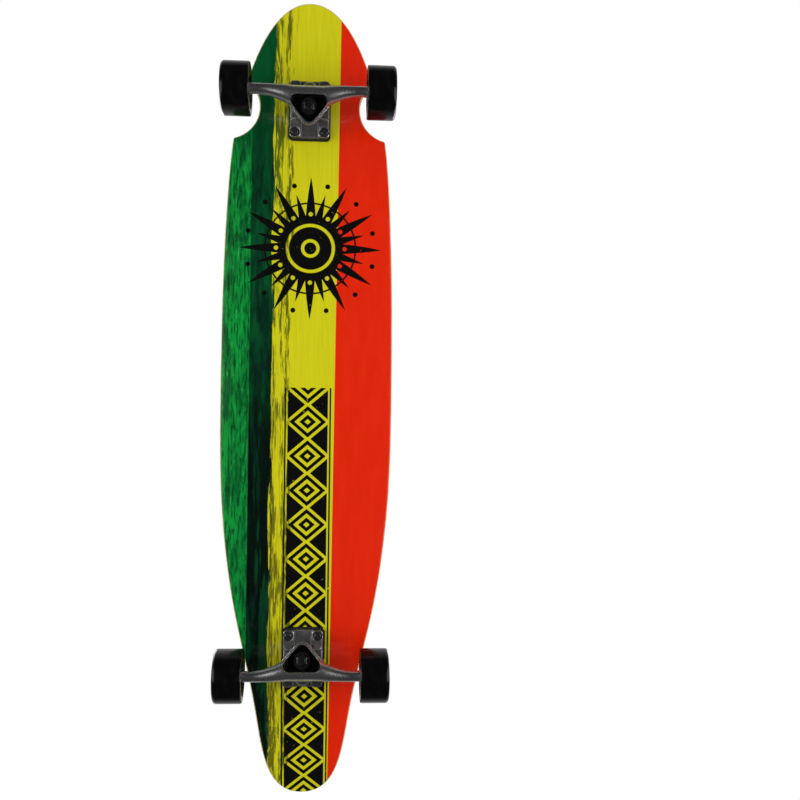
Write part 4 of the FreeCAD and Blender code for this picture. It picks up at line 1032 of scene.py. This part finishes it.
rod_inputs = {**SHAPE, **dict.fromkeys(ROD_SIZES, "Float"), "Finish": "Material"}
w, into, out = new_group("Threaded rod", rod_inputs, SHAPE, "GeometryNodeTree")
rod_tree = w.tree
rows = {"Vertices X": ROUND_STEPS + 1, "Vertices Y": LENGTH_ROWS}
grid = w.add("GeometryNodeMeshGrid", {"Size X": 1.0, "Size Y": 1.0, **rows})
u, v, _ = w.split(w.add("GeometryNodeInputPosition").outputs[0])
away = w.math("ABSOLUTE", w.times(v, 1.0 + END_ROWS / LENGTH_ROWS))
plain = w.minus(into["Half length"], into["Thread length"])
in_plain = w.times(w.math("MINIMUM", w.over(away, PLAIN_SHARE), 1.0), plain)
past_plain = w.math("MAXIMUM", w.minus(away, PLAIN_SHARE), 0.0)
in_thread = w.over(past_plain, 0.5 - PLAIN_SHARE)
threaded = w.times(w.math("MINIMUM", in_thread, 1.0), into["Thread length"])
reach = w.plus(in_plain, threaded)
station = w.times(reach, w.math("SIGN", v))
print(LENGTH_ROWS, "rows along a rod")

# %% [markdown]
# The radius at each point depends on how far the point has climbed along the helix. The groove deepens over
# the first eighth of each thread, so that it runs out softly, and a chamfer narrows the tip. The outermost
# rows have no radius and close the ends. Then the grid is rolled up, welded at its seam and given a finish.

# %% Cut the thread and roll the rod
RUN_OUT = 8.0

climb = w.minus(w.over(station, into["Pitch"]), u)
flank = w.times(w.math("PINGPONG", climb, 0.5), 2.0)
fade = w.math("MINIMUM", w.times(in_thread, RUN_OUT), 1.0)
groove = w.times(w.times(flank, into["Thread depth"]), fade)
from_tip = w.minus(into["Half length"], reach)
chamfer = w.math("MAXIMUM", w.minus(into["Tip chamfer"], from_tip), 0.0)
radius = w.minus(into["Radius"], w.math("MAXIMUM", groove, chamfer))
open_row = w.math("LESS_THAN", w.math("ABSOLUTE", v), 0.5 - 0.5 / LENGTH_ROWS)
radius = w.times(radius, open_row)
angle = w.times(u, math.tau)
along_x = w.times(radius, w.math("COSINE", angle))
along_y = w.times(radius, w.math("SINE", angle))
spot = w.add("ShaderNodeCombineXYZ", {0: along_x, 1: along_y, 2: station}).outputs[0]
rod = w.shape("SetPosition", grid.outputs["Mesh"], Position=spot)
rod = w.shape("MergeByDistance", rod, Distance=WELD)
rod = w.shape("SetShadeSmooth", rod)
rod = w.shape("RealizeInstances", rod)
rod = w.shape("SetMaterial", rod, Material=into["Finish"])
w.plug(rod, out["Geometry"])
print("threaded rod tree has", len(rod_tree.nodes), "nodes")

# %% [markdown]
# A tree is put to work by a modifier, whose inputs are set by their sockets' identifiers. The result is
# kept as a plain mesh and moved into place. On the axles, the thread shows at both ends, outside the lock
# nuts, and the plain middle runs hidden through the bearings and the hanger.

# %% Grow the axles
THREAD_CREASE = math.radians(38)
THREAD_PITCH, THREAD_DEPTH = 1.06 * MM, 0.55 * MM
AXLE_THREAD, AXLE_CHAMFER = 14 * MM, 0.9 * MM


def grow(name, tree, values, place, mesh=None):
    """Evaluates a tree with the given inputs, moves the result into place and keeps it as a plain mesh."""
    piece = new_object(name, mesh or bpy.data.meshes.new(name))
    modifier = piece.modifiers.new("grow", "NODES")
    modifier.node_group = tree
    sockets = {item.name: item.identifier for item in tree.interface.items_tree if item.in_out == "INPUT"}
    for label, value in values.items():
        modifier[sockets[label]] = value
    settle(piece)
    piece.data.transform(place)
    face_outward(piece.data)
    piece.data.set_sharp_from_angle(angle=THREAD_CREASE)
    return piece


def rod_values(finish, *sizes):
    """The rod tree's inputs: its finish, and its sizes in the tree's own order."""
    return {**dict(zip(ROD_SIZES, sizes)), "Finish": finish}


for end in ENDS:
    lie_down = Matrix.Translation(axle_middle[end]) @ Matrix.Rotation(math.radians(90), 4, "X")
    size = span(end + "_axle")
    sizes = (size.x / 2, size.y / 2, AXLE_THREAD, THREAD_PITCH, THREAD_DEPTH, AXLE_CHAMFER)
    axle = grow(end + "_threaded_axle", rod_tree, rod_values(zinc_finish, *sizes), lie_down)
    finish_piece(axle, None, "zinc_steel", end + "_truck", end + "_axle")

# %% [markdown]
# ### Lock nuts
# Every nut here is a lock nut: a hexagon whose ends are turned to a cone, a round collar, and a ring of
# nylon that grips the thread. A boolean of prism and cone would do, but there is a simpler way. Along the
# height, each point of the wall is the smaller of the hexagon and the cone, which gives the curved chamfer
# of a real nut for free.

# %% Draw hexagons with turned ends
NUT_STEPS = 72
NUT_CREASE = math.radians(28)
FLATS_SHARE = math.cos(math.pi / 6)


def hexagon_reach(corner, angle):
    """How far a hexagon with a corner at angle zero reaches at an angle."""
    from_flat = (angle % (math.pi / 3)) - math.pi / 6
    return corner * FLATS_SHARE / math.cos(from_flat)


def hexagon_mesh(name, corner, rows, materials, special=()):
    """Skins rows of (height, radius), each cut to the hexagon. Special rows take the second material."""
    work = bmesh.new()
    loops = []
    for level, reach in rows:
        loop = []
        for step in range(NUT_STEPS):
            angle = math.tau * step / NUT_STEPS
            radius = min(reach, hexagon_reach(corner, angle))
            loop.append(work.verts.new((radius * math.cos(angle), radius * math.sin(angle), level)))
        loops.append(loop)
    for row, (lower, upper) in enumerate(zip(loops, loops[1:])):
        for step in range(NUT_STEPS):
            after = (step + 1) % NUT_STEPS
            face = work.faces.new((lower[step], lower[after], upper[after], upper[step]))
            face.material_index = 1 if row in special else 0
    bmesh.ops.remove_doubles(work, verts=work.verts, dist=FINE_WELD)
    bmesh.ops.dissolve_degenerate(work, edges=work.edges, dist=FINE_WELD / 10)
    bmesh.ops.recalc_face_normals(work, faces=work.faces)
    mesh = bpy.data.meshes.new(name)
    work.to_mesh(mesh)
    work.free()
    for material in materials:
        mesh.materials.append(material)
    mesh.shade_smooth()
    mesh.set_sharp_from_angle(angle=NUT_CREASE)
    return mesh


print("hexagons have", NUT_STEPS, "steps round")

# %% [markdown]
# A nut or a bolt head is then only a list of heights and radii, read from the inside outward, up the wall
# and back inside. The shares below are estimates for a common lock nut.

# %% Draw lock nuts and bolt heads
END_FACE = 0.96
CHAMFER_SHARE = 0.6
PAST_CORNER = 1.01
SHOULDER = 0.74
COLLAR_WIDTH = 0.93
COLLAR_BEND, COLLAR_TOP = 0.93, 0.88
INSERT_LEVEL, INSERT_EDGE = 0.97, 0.98
INSERT_ROW = 9


def hexagon_rows(corner, low, high):
    """The outer wall of a hexagon between two heights, with a chamfer at both ends."""
    flats = corner * FLATS_SHARE
    chamfer = (corner - flats) * CHAMFER_SHARE
    wall = [(low + chamfer, corner * PAST_CORNER), (high - chamfer, corner * PAST_CORNER)]
    return [(low, flats * END_FACE), *wall, (high, flats * END_FACE)]


def lock_nut(name, corner, height, bore, steel, insert):
    """A nut that stands on z = 0, with a collar and a nylon ring at its top."""
    shoulder = height * SHOULDER
    collar = corner * FLATS_SHARE * COLLAR_WIDTH
    ring = bore + (collar - bore) * 0.5
    rows = [(0, bore), *hexagon_rows(corner, 0, shoulder)]
    rows += [(shoulder, collar), (height * COLLAR_BEND, collar), (height, collar * COLLAR_TOP)]
    rows += [(height, ring), (height * INSERT_LEVEL, ring * INSERT_EDGE)]
    rows += [(height * INSERT_LEVEL, bore), (0, bore)]
    return hexagon_mesh(name, corner, rows, (steel, insert), special=(INSERT_ROW,))


def bolt_head(name, corner, height, steel):
    """A plain hexagon head that stands on z = 0."""
    rows = [(0, 0), *hexagon_rows(corner, 0, height), (height, 0)]
    return hexagon_mesh(name, corner, rows, (steel,))


print("a collar starts at", SHOULDER, "of a nut's height")

# %% [markdown]
# One nut is drawn to its size and Geometry Nodes set it on every bolt, because that is what nodes are best
# at: one thing in many places. Each point carries the direction that its nut faces. The copies are made
# real, and then steel and nylon are laid on by the material number that each face kept from the drawing.

# %% Node tree: one on every bolt
nut_inputs = {**SHAPE, "Piece": "Object", "Steel": "Material", "Insert": "Material"}
w, into, out = new_group("One on every bolt", nut_inputs, SHAPE, "GeometryNodeTree")
nut_tree = w.tree
pattern = w.add("GeometryNodeObjectInfo", {"Object": into["Piece"], "As Instance": True})
aim = w.add("GeometryNodeInputNamedAttribute", {"Name": "aim"}, data_type="FLOAT_VECTOR")
upright = w.add("FunctionNodeAlignRotationToVector", {"Vector": aim.outputs[0]}, axis="Z")
points = w.add("GeometryNodeMeshToPoints", {"Mesh": into["Geometry"]})
copies = {"Points": points.outputs[0], "Instance": pattern.outputs["Geometry"]}
placed = w.add("GeometryNodeInstanceOnPoints", {**copies, "Rotation": upright.outputs[0]})
nuts = w.shape("RealizeInstances", placed.outputs[0])
in_ring = w.math("GREATER_THAN", w.add("GeometryNodeInputMaterialIndex").outputs[0], 0.5)
nuts = w.shape("SetMaterial", nuts, Selection=w.minus(1.0, in_ring), Material=into["Steel"])
nuts = w.shape("SetMaterial", nuts, Selection=in_ring, Material=into["Insert"])
w.plug(nuts, out["Geometry"])
print("spreading tree has", len(nut_tree.nodes), "nodes")

# %% [markdown]
# The tree needs a cloud of points that carry their directions, and a pattern to copy. The pattern is only a
# helper, so it is removed again once the copies are a plain mesh. A nut's station along its kingpin comes
# from the packed mesh, because a box can't measure along a leaning pin.

# %% Spread copies and measure along a kingpin


def spread(name, mesh, places):
    """One copy of a mesh on every place, given as a point and the direction its top faces."""
    pattern = new_object(name + "_pattern", mesh)
    cloud = bpy.data.meshes.new(name)
    cloud.from_pydata([point for point, aim in places], [], [])
    cloud.attributes.new("aim", "FLOAT_VECTOR", "POINT")
    for stored, (point, aim) in zip(cloud.attributes["aim"].data, places):
        stored.vector = aim
    steel, insert = mesh.materials
    piece = grow(name, nut_tree, {"Piece": pattern, "Steel": steel, "Insert": insert}, Matrix(), cloud)
    bpy.data.objects.remove(pattern)
    return piece


def along_kingpin(end, vertices):
    """The lowest and highest station of some vertices along a kingpin."""
    into_local = kingpin[end].inverted()
    heights = [(into_local @ vertex.co).z for vertex in vertices]
    return min(heights), max(heights)


for end in ENDS:
    low, high = along_kingpin(end, nodes[end + "_kingpin_nut"].data.vertices)
    print(end, "kingpin nut is", round((high - low) / MM, 2), "mm high")

# %% [markdown]
# The deck nuts sit with their collars down, the axle nuts with their collars out, and the kingpin nut with
# its collar toward the road. The places of the deck nuts come from their node's box, which ends at the
# hexagons' corners in one direction and at their flats in the other.

# %% Set the nuts on their bolts
THREAD_PLAY = 0.05 * MM
BOLT_RADIUS, KINGPIN_RADIUS = 2.4 * MM, 4.76 * MM
DECK_NUT, AXLE_NUT, KINGPIN_NUT = 5.5 * MM, 7.3 * MM, 8.2 * MM
AXLE_NUT_HEIGHT = 6.5 * MM

for end in ENDS:
    low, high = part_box(end + "_mounting_nuts")
    bolt_x = (low.x + DECK_NUT, high.x - DECK_NUT)
    bolt_y = (low.y + DECK_NUT * FLATS_SHARE, high.y - DECK_NUT * FLATS_SHARE)
    bore = BOLT_RADIUS + THREAD_PLAY
    nut = lock_nut("deck_nut", DECK_NUT, high.z - low.z, bore, bolt_finish, core_finish)
    places = [((x, y, high.z), (0, 0, -1)) for x in bolt_x for y in bolt_y]
    piece = spread(end + "_deck_nuts", nut, places)
    finish_piece(piece, None, "bolt_steel", "board", end + "_mounting_nuts")

    seat = span(end + "_axle_nuts").y / 2 - AXLE_NUT_HEIGHT
    bore = span(end + "_axle").x / 2 + THREAD_PLAY
    nut = lock_nut("axle_nut", AXLE_NUT, AXLE_NUT_HEIGHT, bore, zinc_finish, insert_finish)
    places = [(axle_middle[end] + Vector((0, side * seat, 0)), (0, side, 0)) for side in (1, -1)]
    piece = spread(end + "_axle_lock_nuts", nut, places)
    finish_piece(piece, None, "zinc_steel", end + "_truck", end + "_axle_nuts")

    low, high = along_kingpin(end, nodes[end + "_kingpin_nut"].data.vertices)
    bore = KINGPIN_RADIUS + THREAD_PLAY
    nut = lock_nut("kingpin_nut", KINGPIN_NUT, high - low, bore, oxide_finish, core_finish)
    down = -kingpin[end].col[2].xyz
    piece = spread(end + "_kingpin_lock_nut", nut, [(kingpin[end] @ Vector((0, 0, high)), down)])
    finish_piece(piece, None, "black_steel", "board", end + "_kingpin_nut")

# %% [markdown]
# ### Kingpins
# A kingpin is a large bolt that comes down through the base plate, and its hexagon head hides in a recess
# under the riser. The rod tree makes the shank and the hexagon drawing makes the head, so nothing new is
# needed. The tree threads both ends, and the upper thread stays hidden in the base plate and the bushing.

# %% Grow the kingpins
KINGPIN_THREAD, KINGPIN_CHAMFER = 15 * MM, 1.0 * MM
KINGPIN_HEAD_HEIGHT = 5.5 * MM


def add_mesh(piece, mesh, place):
    """Adds another mesh to a piece."""
    work = bmesh.new()
    work.from_mesh(mesh)
    bmesh.ops.transform(work, matrix=place, verts=work.verts)
    work.from_mesh(piece.data)
    work.to_mesh(piece.data)
    work.free()


for end in ENDS:
    tip, top = along_kingpin(end, nodes[end + "_kingpin"].data.vertices)
    neck = top - KINGPIN_HEAD_HEIGHT
    halfway = kingpin[end] @ Matrix.Translation((0, 0, (tip + neck) / 2))
    sizes = (KINGPIN_RADIUS, (neck - tip) / 2, KINGPIN_THREAD, THREAD_PITCH, THREAD_DEPTH, KINGPIN_CHAMFER)
    pin = grow(end + "_threaded_kingpin", rod_tree, rod_values(oxide_finish, *sizes), halfway)
    head = bolt_head("kingpin_head", KINGPIN_NUT, KINGPIN_HEAD_HEIGHT, oxide_finish)
    add_mesh(pin, head, kingpin[end] @ Matrix.Translation((0, 0, neck)))
    finish_piece(pin, None, "black_steel", "board", end + "_kingpin")

# %% [markdown]
# ### Bushings
# Two soft urethane bushings hold the hanger between them on the kingpin, and they are what bends when the
# board leans. They keep the packed shape, as copies with their loose triangles joined and shaded smooth.

# %% Copy the bushings
for end in ENDS:
    for side in ("boardside", "roadside"):
        node = f"{end}_{side}_bushing"
        piece = merged_copy(node + "_urethane", node)
        piece.data.shade_smooth()
        piece.data.set_sharp_from_angle(angle=TURNED_CREASE)
        finish_piece(piece, bushing_finish, "black_urethane", None, node)
        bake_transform(piece)

# %% [markdown]
# ## Stage, light and camera
# The board is shown on a white studio sheet. The sheet carries the shadow when the board is seen from
# above, and fades into the white backdrop further out. From below, it must not hide the board or block the
# lamps, so it is clear from its back and clear to the first bounce of light. Deeper bounces find it solid,
# which keeps most of the lit underside's colour off the sheet.

# %% Lay the floor
FLOOR_RADIUS = 2.2
FLOOR_DROP = 0.2 * MM
FADE_START, FADE_END = 0.8, 2.0
FIRST_BOUNCE = 1.5

floor_mesh = bpy.data.meshes.new("floor")
work = bmesh.new()
bmesh.ops.create_circle(work, cap_ends=True, segments=96, radius=FLOOR_RADIUS)
work.to_mesh(floor_mesh)
work.free()
floor = new_object("floor", floor_mesh)
floor.location.z = -FLOOR_DROP

floor_finish, w, paper = new_finish("pale_floor", Roughness=0.9)
spot = w.add("ShaderNodeTexCoord").outputs["Object"]
fibre = w.noise(spot, (0.025, 0.025, 0.025), detail=4.0)
w.plug(w.mix(fibre, paint(238, 238, 238), paint(244, 244, 244)), paper["Base Color"])
clear = w.add("ShaderNodeBsdfTransparent").outputs[0]
opaque = w.tree.nodes["Principled BSDF"].outputs[0]
path = w.add("ShaderNodeLightPath").outputs
facing = w.minus(1.0, w.add("ShaderNodeNewGeometry").outputs["Backfacing"])
from_middle = w.add("ShaderNodeVectorMath", {0: spot}, operation="LENGTH").outputs["Value"]
near = w.ramp(from_middle, FADE_END, FADE_START)
shown = w.times(w.times(path["Is Camera Ray"], facing), near)
solid = w.math("MAXIMUM", shown, w.math("GREATER_THAN", path["Ray Depth"], FIRST_BOUNCE))
sheet = w.add("ShaderNodeMixShader", {0: solid, 1: clear, 2: opaque})
w.plug(sheet.outputs[0], w.tree.nodes["Material Output"].inputs["Surface"])
floor_mesh.materials.append(floor_finish)
print("floor fades out between", FADE_START, "and", FADE_END, "m")

# %% [markdown]
# The backdrop is plain white to the camera. As a light it plays two more parts. To dull surfaces it is an
# even fill, which a photographer gets from white walls. To shiny ones it is dark below and brighter above,
# as if black cloth lay under the board, so that the coat on the print mirrors little and the colours stay
# deep.

# %% Set the world
FILL_LEVEL = 0.62
MIRRORED_BELOW, MIRRORED_ABOVE = 0.03, 0.65

world = bpy.data.worlds.new("studio")
bpy.context.scene.world = world
world.use_nodes = True
w = Wiring(world.node_tree)
backdrop = world.node_tree.nodes["Background"]
path = w.add("ShaderNodeLightPath").outputs
seen = w.math("MAXIMUM", path["Is Camera Ray"], path["Is Transmission Ray"])
height = w.split(w.add("ShaderNodeTexCoord").outputs["Generated"])[2]
mirrored = w.between(w.ramp(height, -0.1, 0.8), MIRRORED_BELOW, MIRRORED_ABOVE)
level = w.between(path["Is Glossy Ray"], FILL_LEVEL, mirrored)
w.plug(w.between(seen, level, 1.0), backdrop.inputs["Strength"])
backdrop.inputs["Color"].default_value = (1, 1, 1, 1)
print("fill light", FILL_LEVEL)

# %% [markdown]
# Four large soft lamps stand round the board, two below for its underside and two above for its top. They
# stand wide, so that the flat deck doesn't mirror them into the camera, while the round tyres and castings
# catch them as long highlights.

# %% Hang the lamps
LAMP_TARGET = Vector((0, 0, 0.08))


def soft_lamp(name, place, size, watts):
    """A rectangular lamp that faces the middle of the board."""
    data = bpy.data.lights.new(name, "AREA")
    data.shape = "RECTANGLE"
    data.size, data.size_y = size
    data.energy = watts
    lamp = new_object(name, data)
    lamp.location = place
    lamp.rotation_mode = "QUATERNION"
    lamp.rotation_quaternion = (LAMP_TARGET - Vector(place)).to_track_quat("-Z", "X")
    print("lamp", name, "of", watts, "W")


soft_lamp("below_left", (0.1, -1.7, -0.9), (2.6, 1.4), 18)
soft_lamp("below_right", (0.0, 1.7, -0.9), (2.6, 1.4), 19)
soft_lamp("above_left", (0.3, -1.3, 1.6), (1.6, 1.0), 18)
soft_lamp("above_right", (-0.3, 1.4, 1.5), (1.6, 1.0), 15)

# %% [markdown]
# The camera looks up at the underside, with the nose at the top of the picture. Its place follows
# from the photograph: the scale gives the lens, the middle of the board in the picture gives the aim, and a
# small step to the side brings the wheels near to where the photograph has them. Most of the offset is
# aimed and the rest is lens shift, so that other views keep the board in the frame.

# %% Set up the camera
FRAME_PIXELS = 800
BOARD_PIXELS = (306.2, 402.7)
PIXELS_PER_MM = 0.712
SENSOR_WIDTH = 36.0
ROLL = math.radians(0.73)
DISTANCE = 1.2
SHIFT = 0.03
SIDE_STEP = 0.03

focal = PIXELS_PER_MM * DISTANCE / MM
camera_data = bpy.data.cameras.new("camera")
camera_data.sensor_width = SENSOR_WIDTH
camera_data.lens = focal / FRAME_PIXELS * SENSOR_WIDTH
camera_data.shift_x = SHIFT
camera = new_object("camera", camera_data)
aim_x = BOARD_PIXELS[0] - FRAME_PIXELS / 2 + SHIFT * FRAME_PIXELS
aim_y = FRAME_PIXELS / 2 - BOARD_PIXELS[1]
yaw = math.atan2(-aim_x, focal) - math.atan2(SIDE_STEP, DISTANCE)
pitch = math.atan2(-aim_y, focal)
look_up = Matrix(((0, 1, 0), (1, 0, 0), (0, 0, -1))).transposed().to_4x4()
turned = look_up @ Matrix.Rotation(-yaw, 4, "Y") @ Matrix.Rotation(pitch, 4, "X")
turned = turned @ Matrix.Rotation(ROLL, 4, "Z")
camera.matrix_world = Matrix.Translation((0, SIDE_STEP, deck_low.z - DISTANCE)) @ turned
bpy.context.scene.camera = camera
bpy.context.scene.view_settings.view_transform = "Standard"
print("lens", round(camera_data.lens, 2), "mm, yaw", round(math.degrees(yaw), 2), "degrees")

# %% [markdown] Every piece stands for a node of the same size.
